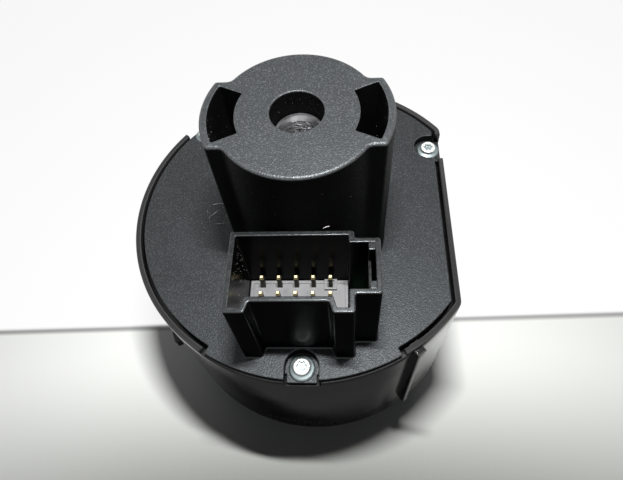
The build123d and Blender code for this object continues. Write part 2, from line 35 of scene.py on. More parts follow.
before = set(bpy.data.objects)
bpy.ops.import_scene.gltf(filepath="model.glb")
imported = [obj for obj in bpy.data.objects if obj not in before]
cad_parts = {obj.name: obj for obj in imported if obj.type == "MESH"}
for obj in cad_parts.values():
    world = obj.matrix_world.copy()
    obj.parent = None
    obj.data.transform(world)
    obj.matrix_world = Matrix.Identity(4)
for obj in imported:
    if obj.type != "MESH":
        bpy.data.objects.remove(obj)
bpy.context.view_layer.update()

MM = 0.001  # metres in a millimetre
LAND = 0.03  # width of the level strip beside each rounded edge
OVERLAP = 0.05  # how far one closed surface reaches into the next
HAIR = 0.001  # keeps two arcs apart that would otherwise meet exactly
MERGE = 2e-7  # points closer than this many metres are one
SHARP = math.radians(38)  # edges that turn more than this stay sharp
UPRIGHT = 0.3  # a face whose normal rises less than this is upright
AXIS = (0.0, 0.0)  # the turning axis
POST = (0.6, -4.2)  # the axis of the cover's post and of the insert in it
INSERT_LENGTH = 8.0  # from the insert's top to its foot
PLASTIC_INDEX = 1.5  # how strongly plastic bends light
LOG = logging.getLogger("switch")

Array = np.ndarray
Material = bpy.types.Material
Pair = tuple[float, float]
Socket = bpy.types.NodeSocket
Triple = tuple[float, float, float]
Quad = tuple[float, float, float, float]


class Body(Enum):
    """The bodies that the pieces ride on."""

    HOUSING = "housing"
    KNOB = "knob"


class Level(float, Enum):
    """Heights along the axis that several pieces share."""

    BEZEL_FRONT = 9.5
    DIAL_FRONT = 10.7
    DIAL_BACK = 11.7
    KNOB_SKIRT = 13.0
    DECK_FRONT = 16.0
    DECK_BACK = 18.0
    HUB_BACK = 21.0
    LEAF_POST = 25.1
    BOARD_FRONT = 36.0
    BOARD_BACK = 37.6
    COVER_BACK = 42.1
    NOTCH_FLOOR = 43.0
    COVER_FACE = 44.5
    SHROUD_TOP = 61.4
    INSERT_TOP = 68.9
    POST_TOP = 72.6


@dataclass(frozen=True)
class Finish:
    """A named look. Each kind of finish joins its own nodes."""

    name: str

    def paint(self, g: "Graph") -> None:
        """Joins the nodes."""
        raise NotImplementedError

    def material(self) -> Material:
        """Builds the material."""
        made = bpy.data.materials.new(self.name)
        made.use_nodes = True
        self.paint(Graph(made.node_tree))
        return made

    def shared(self) -> Material:
        """The material, built once however many pieces wear it."""
        return bpy.data.materials.get(self.name) or self.material()


# ---- Outlines and profiles


def unit(vectors: Array) -> Array:
    """Each vector divided by its length."""
    return vectors / np.linalg.norm(vectors, axis=-1, keepdims=True)


def arc(centre: Pair, radius: float, start: float, end: float, steps: int) -> Array:
    """Samples a circle's arc: centre plus radius times (cosine, sine) of even angles.

    Args:
        centre: the circle's centre.
        radius: its radius.
        start: first angle in degrees.
        end: last angle in degrees.
        steps: number of points.

    Returns:
        The points, one row each.
    """
    angles = np.radians(np.linspace(start, end, steps))
    return np.asarray(centre) + radius * np.stack([np.cos(angles), np.sin(angles)], axis=1)


def circle(centre: Pair, radius: float, steps: int) -> Array:
    """A whole circle, anticlockwise."""
    return arc(centre, radius, 0, 360 - 360 / steps, steps)


def parabola(first: Array, corner: Array, last: Array, t: Array) -> Array:
    """The curve (1-t)^2 A + 2t(1-t) P + t^2 B, which leaves A towards P and ends at B."""
    return (1 - t) ** 2 * first + 2 * t * (1 - t) * corner + t**2 * last


def softened(points: Array, radius: float, steps: int = 5, least_turn: float = 20.0) -> Array:
    """Rounds the corners of a closed outline, each by a parabola between points on its two sides.

    Args:
        points: the outline, anticlockwise.
        radius: the wanted corner radius.
        steps: points on each rounded corner.
        least_turn: corners that turn less than this many degrees stay as they are.

    Returns:
        The rounded outline.
    """
    most = 0.45  # share of a side that the rounding at one end may take
    sides = [np.roll(points, step, axis=0) - points for step in (1, -1)]
    cosine = -np.prod([unit(side) for side in sides], axis=0).sum(axis=1)
    turn = np.degrees(np.arccos(np.clip(cosine, -1, 1)))
    reach = radius * np.tan(np.radians(turn) / 2)
    shares = [np.minimum(reach / np.linalg.norm(side, axis=1), most)[:, None] for side in sides]
    first, last = (points + side * share for side, share in zip(sides, shares))
    t = np.linspace(0, 1, steps)[None, :, None]
    curve = parabola(first[:, None], points[:, None], last[:, None], t)
    keep = np.ones((len(points), steps), bool)
    plain = turn < least_turn
    curve[plain] = points[plain][:, None]
    keep[plain, 1:] = False
    return curve[keep]


def inward(points: Array, closed: bool = True) -> Array:
    """Finds the offset direction of each point of a path.

    With n1 and n2 the left normals of the two sides, it is (n1 + n2) / (1 + n1.n2), so that
    moving every point by d times its direction moves every side by d.

    Args:
        points: the path.
        closed: whether the last point joins the first.

    Returns:
        One direction per point.
    """
    ahead = np.roll(points, -1, axis=0) - points
    if not closed:
        ahead[-1] = ahead[-2]
    ahead = unit(ahead)
    behind = np.roll(ahead, 1, axis=0)
    if not closed:
        behind[0] = ahead[0]
    left = np.stack([-ahead[:, 1], ahead[:, 0]], axis=1)
    right = np.stack([-behind[:, 1], behind[:, 0]], axis=1)
    return (left + right) / (1 + (left * right).sum(axis=1, keepdims=True))


def shifted(points: Array, distance: float) -> Array:
    """Moves a closed outline inwards by a distance."""
    return points + distance * inward(points)


def swept(path: Array, rows: Array, closed: bool = True) -> Array:
    """Carries rows of inset and height along a path: point + inset * inward direction, at the height.

    Args:
        path: the flat path.
        rows: the profile.
        closed: whether the path's last point joins the first.

    Returns:
        Array of path step, profile step and coordinate.
    """
    flat = path[:, None] + inward(path, closed)[:, None] * rows[None, :, :1]
    height = np.broadcast_to(rows[None, :, 1:2], (*flat.shape[:2], 1))
    return np.concatenate([flat, height], axis=2)


def turned(points: Array, angle: float, centre: Pair = AXIS) -> Array:
    """Turns flat points about the axis by an angle in degrees, then moves them to a centre."""
    c, s = math.cos(math.radians(angle)), math.sin(math.radians(angle))
    return points @ np.array([[c, s], [-s, c]]) + np.asarray(centre)


def box_outline(left: float, right: float, low: float, high: float, radius: float = 0.2) -> Array:
    """A rectangle with rounded corners, anticlockwise."""
    corners = np.array([(left, low), (right, low), (right, high), (left, high)], float)
    return softened(corners, radius)


def quarter(steps: int = 5) -> tuple[Array, Array]:
    """Sine and cosine of even angles from 0 to 90 degrees."""
    angles = np.radians(np.linspace(0, 90, steps))
    return np.sin(angles), np.cos(angles)


def rise(
    bottom: float,
    top: float,
    edge: float = 0.2,
    foot: float = 0.0,
    foot_level: float = 0.0,
    heel: float = 0.0,
) -> Array:
    """Profile of an upright wall, as rows of inset, height and wear.

    The heel is a quarter round at the bottom, the foot a hollow quarter round that spreads on the
    surface below, and the edge a quarter round at the top. Narrow level lands stand beside each round.

    Args:
        bottom: lowest level.
        top: highest level.
        edge: radius of the top edge.
        foot: radius of the hollow foot.
        foot_level: level of the surface that the foot spreads on.
        heel: radius of the bottom edge.

    Returns:
        The profile from bottom to top.
    """
    s, c = quarter()
    parts = []
    if foot:
        parts.append([(-foot, bottom, 0.0), (-foot, foot_level, 0.0)])
        parts.append(np.stack([foot * (s - 1), foot_level + foot * (1 - c), 0 * s], axis=1)[1:])
    elif heel:
        parts.append([(heel + LAND, bottom, 0.0)])
        parts.append(np.stack([heel * (1 - s), bottom + heel * (1 - c), 4 * s * c * s], axis=1))
        parts.append([(0.0, bottom + heel + LAND, 0.0)])
    else:
        parts.append([(0.0, bottom, 0.0)])
    if edge:
        parts.append([(0.0, top - edge - LAND, 0.0)])
        wear = 0.3 + 1.4 * s * c
        parts.append(np.stack([edge * (1 - c), top - edge + edge * s, wear], axis=1))
        parts.append([(edge + LAND, top, 0.0)])
    else:
        parts.append([(0.0, top, 0.0)])
    return np.concatenate([np.asarray(p, float) for p in parts])


@dataclass
class Solid:
    """Closed surfaces gathered into one piece.

    A surface is a grid of points worked out as whole arrays, or a flat cap between closed loops.
    """

    name: str
    points: list[Array] = field(default_factory=list)
    wear: list[Array] = field(default_factory=list)
    faces: list[list[int]] = field(default_factory=list)
    count: int = 0

    def add(self, points: Array, wear: Array, faces: Array) -> None:
        """Adds points, their wear and the faces between them.

        Args:
            points: rows of x, y, z.
            wear: one value per point.
            faces: rows of point numbers.
        """
        self.points.append(points)
        self.wear.append(np.broadcast_to(np.asarray(wear, float).ravel(), (len(points),)))
        self.faces += (np.asarray(faces) + self.count).tolist()
        self.count += len(points)

    def grid(
        self, points: Array, wear: Array | float = 0.0, around: bool = True, ring: bool = False
    ) -> None:
        """Adds a grid of points as four-sided faces.

        Args:
            points: array of path step, profile step and coordinate.
            wear: wear at each point.
            around: whether the path closes on itself.
            ring: whether the profile closes on itself.
        """
        path, profile = points.shape[:2]
        number = np.arange(path * profile).reshape(path, profile)
        if around:
            number = np.concatenate([number, number[:1]])
        if ring:
            number = np.concatenate([number, number[:, :1]], axis=1)
        quads = np.stack([number[:-1, :-1], number[1:, :-1], number[1:, 1:], number[:-1, 1:]], axis=-1)
        worn = np.broadcast_to(wear, (path, profile)).ravel()
        self.add(points.reshape(-1, 3), worn, quads.reshape(-1, 4))

    def wall(self, outline: Array, rows: Array) -> tuple[Array, Array]:
        """Carries a profile round a closed outline.

        Args:
            outline: the closed path, anticlockwise for an outside and clockwise for a hole.
            rows: the profile, from bottom to top.

        Returns:
            The lowest and the highest loop.
        """
        points = swept(outline, rows)
        self.grid(points, rows[None, :, 2])
        return points[:, 0, :2], points[:, -1, :2]

    def cap(self, loops: list[Array], level: float, up: bool) -> None:
        """Fills the flat area between an outer loop and its holes with triangles.

        Args:
            loops: the outer loop, then the holes.
            level: its height.
            up: whether it faces up.
        """
        flat = np.concatenate(loops)
        spatial = [np.column_stack([loop, np.zeros(len(loop))]).tolist() for loop in loops]
        triangles = np.array(tessellate_polygon(spatial), int)
        a, b, c = flat[triangles[:, 0]], flat[triangles[:, 1]], flat[triangles[:, 2]]
        area = (b[:, 0] - a[:, 0]) * (c[:, 1] - a[:, 1]) - (b[:, 1] - a[:, 1]) * (c[:, 0] - a[:, 0])
        real = np.abs(area) > 1e-9  # drops triangles that have no area
        triangles = triangles[real]
        wrong = (area[real] > 0) != up
        triangles[wrong] = triangles[wrong][:, ::-1]
        self.add(np.column_stack([flat, np.full(len(flat), float(level))]), np.zeros(len(flat)), triangles)

    def shell(self, outline: Array, rows: Array, holes: list[tuple[Array, Array, bool]] = ()) -> None:
        """Builds a closed moulding with flat ends.

        Args:
            outline: the outside, anticlockwise.
            rows: the outside's profile.
            holes: for each hole its outline, its profile and whether it is blind.
        """
        low, high = self.wall(outline, rows)
        lower, upper = [low], [high]
        for hole, hole_rows, blind in holes:
            first, last = self.wall(hole[::-1], hole_rows)
            upper.append(last)
            if blind:
                self.cap([first], hole_rows[0, 1], True)
            else:
                lower.append(first)
        self.cap(upper, rows[-1, 1], True)
        self.cap(lower, rows[0, 1], False)

    def tube(self, outside: Array, inside: Array, rows: Array) -> None:
        """Builds a closed moulding with one opening through it that has the same profile."""
        self.shell(outside, rows, [(inside, rows, False)])

    def bar(self, path: Array, section: Array, wear: Array | float = 0.0) -> None:
        """Carries a closed section of inset and height along an open flat path, with flat ends.

        Args:
            path: the open path.
            section: the section, anticlockwise seen along the path.
            wear: wear at each point of the section.
        """
        points = swept(path, section, closed=False)
        self.grid(points, wear, around=False, ring=True)
        corners = np.arange(len(section))
        self.add(points[0], 0.0, corners[None, :][:, ::-1])
        self.add(points[-1], 0.0, corners[None, :])

    def lathe(
        self, radius: Array, height: Array, centre: Pair, wear: Array | float = 0.0, ring: bool = False
    ) -> None:
        """Turns a profile about an upright axis: the point at angle a is (r cos a, r sin a, z).

        Args:
            radius: radii, by angle step and profile step.
            height: heights, in the same shape.
            centre: the axis.
            wear: wear at each profile step.
            ring: whether the profile closes on itself.
        """
        angles = np.linspace(0, 2 * np.pi, len(radius), endpoint=False)[:, None]
        x, y = centre[0] + radius * np.cos(angles), centre[1] + radius * np.sin(angles)
        self.grid(np.stack([x, y, height], axis=2), wear, ring=ring)

    def mesh(self) -> bpy.types.Mesh:
        """Makes the mesh in metres, with its wear, smooth faces and sharp edges."""
        mesh = bpy.data.meshes.new(self.name)
        mesh.from_pydata((np.concatenate(self.points) * MM).tolist(), [], self.faces)
        worn = mesh.attributes.new("wear", "FLOAT", "POINT")
        worn.data.foreach_set("value", np.concatenate(self.wear).astype(np.float32))
        merged = bmesh.new()
        merged.from_mesh(mesh)
        bmesh.ops.remove_doubles(merged, verts=merged.verts, dist=MERGE)
        merged.to_mesh(mesh)
        merged.free()
        mesh.polygons.foreach_set("use_smooth", np.ones(len(mesh.polygons), bool))
        mesh.set_sharp_from_angle(angle=SHARP)
        return mesh

    def made(
        self,
        finish: Finish,
        body: Body,
        slot: str,
        stands_for: tuple[str, ...] = (),
        sides: Finish | None = None,
        above: float = math.inf,
    ) -> bpy.types.Object:
        """Makes the object, dresses it and lets it ride on its body.

        Args:
            finish: its finish.
            body: the body that it moves with.
            slot: the record's material slot; not used.
            stands_for: the CAD nodes that it replaces.
            sides: another finish for the upright faces.
            above: level above which the main finish stays on the upright faces too.

        Returns:
            The new object.
        """
        mesh = self.mesh()
        mesh.materials.append(finish.shared())
        if sides:
            mesh.materials.append(sides.shared())
            normal, middle = np.empty((2, len(mesh.polygons) * 3))
            mesh.polygons.foreach_get("normal", normal)
            mesh.polygons.foreach_get("center", middle)
            upright = (np.abs(normal[2::3]) < UPRIGHT) & (middle[2::3] < above * MM)
            mesh.polygons.foreach_set("material_index", upright.astype(np.int32))
        piece = bpy.data.objects.new(self.name, mesh)
        bpy.context.scene.collection.objects.link(piece)
        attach(piece, body.value)
        if stands_for:
            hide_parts(*stands_for)
        LOG.info("%s: %d faces on %s", self.name, len(mesh.polygons), body.value)
        return piece


# ---- Finishes


@dataclass
class Graph:
    """A node tree, with short calls for the patterns that the finishes share."""

    tree: bpy.types.NodeTree

    @cached_property
    def place(self) -> Socket:
        """The object's own coordinates."""
        return self.tree.nodes.new("ShaderNodeTexCoord").outputs["Object"]

    def node(self, kind: str, links: dict | None = None, **values: object) -> bpy.types.Node:
        """Adds a node.

        Args:
            kind: the node's type.
            links: by input name or number, the socket or plain value that goes there.
            values: the node's own settings.

        Returns:
            The node.
        """
        made = self.tree.nodes.new(kind)
        for key, value in values.items():
            setattr(made, key, value)
        for key, value in (links or {}).items():
            if isinstance(value, Socket):
                self.tree.links.new(value, made.inputs[key])
            else:
                made.inputs[key].default_value = value
        return made

    def noise(
        self, size: float, detail: float = 3.0, rough: float = 0.55, stretch: Triple = (1, 1, 1)
    ) -> Socket:
        """Cloudy noise whose blobs are about the given size in millimetres."""
        scaled = self.node("ShaderNodeMapping", {"Vector": self.place, "Scale": stretch}).outputs[0]
        links = {"Vector": scaled, "Scale": 1 / (size * MM), "Detail": detail, "Roughness": rough}
        return self.node("ShaderNodeTexNoise", links).outputs[0]

    def cell_edges(self, size: float) -> Socket:
        """Each point's distance from the edge of its cell. The cells have about the given size."""
        links = {"Vector": self.place, "Scale": 1 / (size * MM)}
        return self.node("ShaderNodeTexVoronoi", links, feature="DISTANCE_TO_EDGE").outputs["Distance"]

    def span(
        self, value: Socket, low: float, high: float, to_low: float = 0.0, to_high: float = 1.0
    ) -> Socket:
        """Stretches a value's range from low..high to to_low..to_high and holds it there."""
        links = {0: value, 1: low, 2: high, 3: to_low, 4: to_high}
        return self.node("ShaderNodeMapRange", links).outputs[0]

    def ramp(self, value: Socket, ends: Pair, **values: object) -> Socket:
        """Rises from nought to one between two places in millimetres."""
        links = {0: value, 1: ends[0] * MM, 2: ends[1] * MM}
        return self.node("ShaderNodeMapRange", links, **values).outputs[0]

    def math(self, operation: str, first: object, second: object) -> Socket:
        """One arithmetic step."""
        return self.node("ShaderNodeMath", {0: first, 1: second}, operation=operation).outputs[0]

    def times(self, first: object, second: object) -> Socket:
        """The product of two values."""
        return self.math("MULTIPLY", first, second)

    def vector(
        self, operation: str, first: object, second: object = (0, 0, 0), result: str = "Vector"
    ) -> Socket:
        """One step of vector arithmetic."""
        return self.node("ShaderNodeVectorMath", {0: first, 1: second}, operation=operation).outputs[result]

    def seen(self) -> Socket:
        """One for what the camera sees, in mirrors and through clear plastic too, and nought for light."""
        ray = self.node("ShaderNodeLightPath").outputs
        mirrored = self.math("MAXIMUM", ray["Is Camera Ray"], ray["Is Glossy Ray"])
        return self.math("MAXIMUM", mirrored, ray["Is Transmission Ray"])

    def drift(self, size: float, detail: float, low: float = 0.0, high: float = 1.0) -> Socket:
        """A value that drifts between two others in clouds of the given size."""
        return self.span(self.noise(size, detail), 0.3, 0.7, low, high)

    def clouds(self, size: float, detail: float, first: object, second: object) -> Socket:
        """The same for a colour."""
        return self.blend(self.drift(size, detail), first, second)

    def blend(self, share: object, first: object, second: object) -> Socket:
        """Mixes two colours by a share."""
        links = {0: share, 6: first, 7: second}
        return self.node("ShaderNodeMix", links, data_type="RGBA").outputs[2]

    def worn(self) -> Socket:
        """The piece's own wear along its edges."""
        return self.node("ShaderNodeAttribute", attribute_name="wear").outputs["Fac"]

    def facing_up(self) -> Socket:
        """How far the surface faces up, from its own normal."""
        normal = self.node("ShaderNodeNewGeometry").outputs["Normal"]
        return self.node("ShaderNodeSeparateXYZ", {0: normal}).outputs[2]

    def bump(self, height: Socket, depth: float, under: Socket | None = None) -> Socket:
        """Turns a height pattern into relief of the given depth in millimetres."""
        links = {"Height": height, "Distance": depth * MM, "Strength": 1.0}
        if under is not None:
            links["Normal"] = under
        return self.node("ShaderNodeBump", links).outputs[0]

    def mix_out(self, share: Socket, first: Socket, second: Socket) -> None:
        """Mixes two shaders and sends the result to the output."""
        mixed = self.node("ShaderNodeMixShader", {0: share, 1: first, 2: second}).outputs[0]
        out = next(node for node in self.tree.nodes if node.type.startswith("OUTPUT"))
        self.tree.links.new(mixed, out.inputs[0])

    def set(self, **inputs: object) -> None:
        """Sets or links the shader's inputs, with underscores for spaces."""
        for key, value in inputs.items():
            socket = self.tree.nodes["Principled BSDF"].inputs[key.replace("_", " ")]
            if isinstance(value, Socket):
                self.tree.links.new(value, socket)
            else:
                socket.default_value = value


def grey(value: float, warm: float = 0.0) -> Quad:
    """A grey, made warmer or, below zero, cooler."""
    return (value * (1 + warm), value, value * (1 - warm), 1.0)


@dataclass(frozen=True)
class GrainedPlastic(Finish):
    """Black moulded plastic with a fine eroded grain, pale flecks painted in as its glints, light wear on its
    edges and settled dust.
    """

    dark: float = 0.002
    light: float = 0.004
    warm: float = -0.12
    rough: Pair = (0.44, 0.62)
    grain: float = 0.22
    depth: float = 0.055
    painted_glint: float = 0.23
    dust: float = 0.12
    gloss: float = 0.5
    cloud: float = 7.0
    painted_glint_tone: float = 0.14
    painted_glint_range: Pair = (0.54, 0.68)
    worn_tone: float = 0.06
    dust_tone: float = 0.34
    dust_size: float = 0.5
    dust_range: Pair = (0.62, 0.72)
    sheen: Quad = (0.9, 0.97, 1.0, 1.0)

    def paint(self, g: Graph) -> None:
        """Joins the nodes."""
        fine = g.noise(self.grain, 1, 0.5)
        broad = g.noise(self.cloud, 2)
        tone = g.blend(g.span(broad, 0.3, 0.7), grey(self.dark, self.warm), grey(self.light, self.warm))
        # Paler flecks at the grain's scale: painted glints, standing for the grain catching the light.
        painted_glints = g.span(g.noise(self.grain * 0.9, 1, 0.5), *self.painted_glint_range, 0.0, self.painted_glint)
        tone = g.blend(painted_glints, tone, grey(self.painted_glint_tone, -0.04))
        tone = g.blend(g.times(g.worn(), 0.3), tone, grey(self.worn_tone, -0.02))
        specks = g.span(g.noise(self.dust_size, 5, 0.8), *self.dust_range)
        lying = g.times(specks, g.span(g.facing_up(), 0.2, 0.9, 0.0, self.dust))
        tone = g.blend(lying, tone, grey(self.dust_tone, 0.04))
        rough = g.span(g.noise(self.grain * 1.1, 3, 0.7), 0.35, 0.65, *self.rough)
        rough = g.math("SUBTRACT", rough, g.times(g.worn(), 0.1))
        wavy = g.bump(broad, 0.03)
        g.set(Base_Color=tone, Roughness=rough, Normal=g.bump(fine, self.depth, wavy))
        g.set(IOR=PLASTIC_INDEX, Specular_IOR_Level=self.gloss, Specular_Tint=self.sheen)


@dataclass(frozen=True)
class PolishedPlastic(Finish):
    """Black plastic from a polished mould, with faint smears, hairline scratches and a little haze."""

    tone: float = 0.003
    rough: Pair = (0.1, 0.2)
    waves: float = 0.02
    haze: float = 0.35
    gloss: float = 0.5
    worn_tone: float = 0.09
    smear: float = 4.0
    scratch: float = 0.22
    scratch_range: Pair = (0.66, 0.74)

    def paint(self, g: Graph) -> None:
        """Joins the nodes."""
        smear = g.noise(self.smear, 4, 0.6, (1, 1, 0.35))
        scratch = g.span(g.noise(self.scratch, 2, 0.5, (0.12, 0.12, 1)), *self.scratch_range)
        haze = g.times(g.span(smear, 0.45, 0.75), self.haze)
        tone = g.blend(haze, grey(self.tone, -0.02), grey(self.tone * 3.2, 0.02))
        tone = g.blend(g.times(g.worn(), 0.5), tone, grey(self.worn_tone))
        rough = g.span(smear, 0.3, 0.75, *self.rough)
        rough = g.math("ADD", rough, g.times(scratch, 0.12))
        relief = g.bump(g.noise(9.0, 1), self.waves * 4)
        relief = g.bump(g.noise(0.35, 3), self.waves * 0.05, relief)
        g.set(Base_Color=tone, Roughness=rough, Normal=relief)
        g.set(IOR=PLASTIC_INDEX, Specular_IOR_Level=self.gloss)


@dataclass(frozen=True)
class PlainPlastic(Finish):
    """Pale or tinted moulded plastic with soft clouding and a light surface grain."""

    first: Triple
    second: Triple
    rough: Pair = (0.35, 0.55)
    grain: float = 0.4
    depth: float = 0.006
    clear: float = 0.0
    cloud: float = 3.0
    soil_tone: float = 0.4

    def paint(self, g: Graph) -> None:
        """Joins the nodes."""
        tone = g.clouds(self.cloud, 4, (*self.first, 1), (*self.second, 1))
        soiled = g.span(g.noise(0.6, 4, 0.7), 0.6, 0.75)
        tone = g.blend(g.times(soiled, 0.25), tone, grey(self.soil_tone, 0.05))
        rough = g.drift(1.5, 3, *self.rough)
        g.set(Base_Color=tone, Roughness=rough, Normal=g.bump(g.noise(self.grain, 3), self.depth))
        g.set(IOR=PLASTIC_INDEX, Transmission_Weight=self.clear)


@dataclass(frozen=True)
class Metal(Finish):
    """Plated or bare metal with fine tool marks, duller patches and a trace of tarnish."""

    bright: Triple
    dull: Triple
    rough: Pair = (0.18, 0.36)
    mark: float = 0.12
    depth: float = 0.004
    stretch: Triple = (1.0, 1.0, 6.0)
    clean_above: float = 0.0
    fade: float = 0.12

    def paint(self, g: Graph) -> None:
        """Joins the nodes. Above the height clean_above it is bright, and just below it is dull."""
        patch = g.span(g.noise(1.1, 4, 0.65), 0.35, 0.7)
        if self.clean_above:
            height = g.node("ShaderNodeSeparateXYZ", {0: g.place}).outputs[2]
            below = g.span(height, (self.clean_above - self.fade) * MM, self.clean_above * MM, 1.0, 0.0)
            patch = g.math("MAXIMUM", g.times(patch, 0.3), below)
        tone = g.blend(patch, (*self.bright, 1), (*self.dull, 1))
        rough = g.drift(0.7, 3, *self.rough)
        marks = g.noise(self.mark, 2, 0.6, self.stretch)
        g.set(Base_Color=tone, Metallic=1.0, Roughness=rough, Normal=g.bump(marks, self.depth))


@dataclass(frozen=True)
class BoardFinish(Finish):
    """Green solder mask with paler tracks under it."""

    name: str = "board_lacquer"
    mask: tuple[Triple, Triple] = ((0.006, 0.05, 0.02), (0.012, 0.085, 0.035))
    track: Triple = (0.03, 0.16, 0.06)
    lane: float = 1.6

    def paint(self, g: Graph) -> None:
        """Joins the nodes."""
        track = g.span(g.cell_edges(self.lane), 0.12, 0.16, 1.0, 0.0)
        tone = g.clouds(3.0, 3, (*self.mask[0], 1), (*self.mask[1], 1))
        tone = g.blend(g.times(track, 0.5), tone, (*self.track, 1))
        g.set(Base_Color=tone, Roughness=g.drift(0.8, 3, 0.22, 0.4), Normal=g.bump(track, 0.02))
        g.set(Coat_Weight=0.3)


@dataclass(frozen=True)
class Lint(Finish):
    """Pale textile fluff and dust."""

    name: str = "lint"
    pale: float = 0.62

    def paint(self, g: Graph) -> None:
        """Joins the nodes."""
        tone = g.clouds(0.8, 3, grey(self.pale, 0.05), grey(self.pale * 0.6, 0.1))
        g.set(Base_Color=tone, Roughness=g.drift(0.3, 2, 0.7, 0.95), Normal=g.bump(g.noise(0.1, 2), 0.01))


# ---- Outlines that several pieces share


@dataclass(frozen=True)
class BodyForm:
    """The round body with its flat, and the places of the screws."""

    radius: float = 30.0
    flat: float = 24.2
    screw_circle: float = 27.6
    screw_angles: Pair = (138.0, 269.6)
    flat_screw: Pair = (21.8, 13.6)
    notch_half: float = 2.55
    draft: float = 0.014
    corner_arc: float = 1.2
    corner_reach: float = 0.7

    def taper(self, level: float) -> float:
        """How far the wall has drawn in at a level below the cover's face."""
        return self.draft * (Level.COVER_FACE - level)

    def outline(self, inset: float, steps: int = 220) -> Array:
        """The whole outline moved inwards: the arc r = R - inset, closed by the flat.

        Args:
            inset: distance inwards.
            steps: points on the arc.

        Returns:
            The outline, anticlockwise.
        """
        radius, flat = self.radius - inset, self.flat - inset
        half = math.degrees(math.acos(flat / radius))
        start = half + self.corner_arc
        bow = arc(AXIS, radius, start, 360 - start, steps)
        tall = math.sqrt(radius**2 - flat**2)
        t = np.linspace(0, 1, 7)[1:, None]
        low = parabola(bow[-1:], np.array([[flat, -tall]]), np.array([[flat, self.corner_reach - tall]]), t)
        return np.concatenate([bow, low, low[::-1] * [1, -1]])

    def places(self) -> list[Quad]:
        """Each screw's centre, the direction of its notch and its distance along that direction."""
        out = self.screw_circle
        found = [(*turned(np.array([out, 0.0]), angle), angle, out) for angle in self.screw_angles]
        return [*found, (*self.flat_screw, 0.0, self.flat_screw[0])]

    def notch(self, centre: Pair, angle: float, reach: float) -> Array:
        """The edge of a notch, from its clockwise side round its end to the other side.

        Args:
            centre: the screw's centre.
            angle: the direction in which the notch opens.
            reach: how far its mouth is from the centre.

        Returns:
            The points in order.
        """
        half = self.notch_half
        end = arc(AXIS, half, 270, 90, 21)
        return turned(np.concatenate([[(reach, -half)], end, [(reach, half)]]), angle, centre)

    def cover_outline(self, inset: float, flange_inset: float, flange_half: float) -> Array:
        """The cover plate's outline with its three notches and its wider sector at the front.

        Args:
            inset: distance from the body's outline.
            flange_inset: the same for the wider sector.
            flange_half: half the sector's angle.

        Returns:
            The outline, anticlockwise.
        """
        radius, wide, flat = self.radius - inset, self.radius - flange_inset, self.flat - inset
        corner = math.degrees(math.acos(flat / radius))
        side, front = self.screw_angles
        radii = np.array([radius, wide])
        near, far = np.degrees(np.arcsin(self.notch_half / radii))
        mouth, wide_mouth = np.sqrt(radii**2 - self.notch_half**2) - self.screw_circle
        screws = [place[:2] for place in self.places()]
        parts = [
            arc(AXIS, radius, corner, side - near, 60)[:-1],
            self.notch(screws[0], side, mouth),
            arc(AXIS, radius, side + near, front - flange_half, 60)[1:],
            arc(AXIS, wide, front - flange_half, front - far, 26)[:-1],
            self.notch(screws[1], front, wide_mouth),
            arc(AXIS, wide, front + far, front + flange_half, 26)[1:],
            arc(AXIS, radius, front + flange_half, 360 - corner, 30),
            self.notch(screws[2], 0.0, flat - self.flat_screw[0]),
        ]
        return np.concatenate(parts)


@dataclass(frozen=True)
class PlugForm:
    """The plug's shroud: a main space with two legs, and the locking lever's channel beside it."""

    left: float = -8.8
    right: float = 7.6
    back: float = -14.7
    front: float = -24.8
    leg: float = 1.5
    leg_width: float = 2.75
    slant: float = 0.45
    channel: float = 3.4
    channel_back: float = 1.1
    channel_front: float = 1.0
    wall: float = 0.7

    def corners(self, with_channel: bool = True) -> Array:
        """The outer corners, anticlockwise from the back left one."""
        x0, x1, front, tip, back = self.left, self.right, self.front, self.front - self.leg, self.back
        a, b = x0 + self.leg_width, x1 - self.leg_width
        legs = [(x0, tip), (a, tip), (a + self.slant, front), (b - self.slant, front), (b, tip), (x1, tip)]
        near, far, reach = front + self.channel_front, back - self.channel_back, x1 + self.channel
        side = [(x1, near), (reach, near), (reach, far), (x1, far)] if with_channel else []
        return np.array([(x0, back), *legs, *side, (x1, back)], float)

    def cavity(self) -> Array:
        """The inside of the wall."""
        return softened(shifted(self.corners(), self.wall), 0.2)


BODY = BodyForm()
PLUG = PlugForm()


# ---- Sub-assemblies


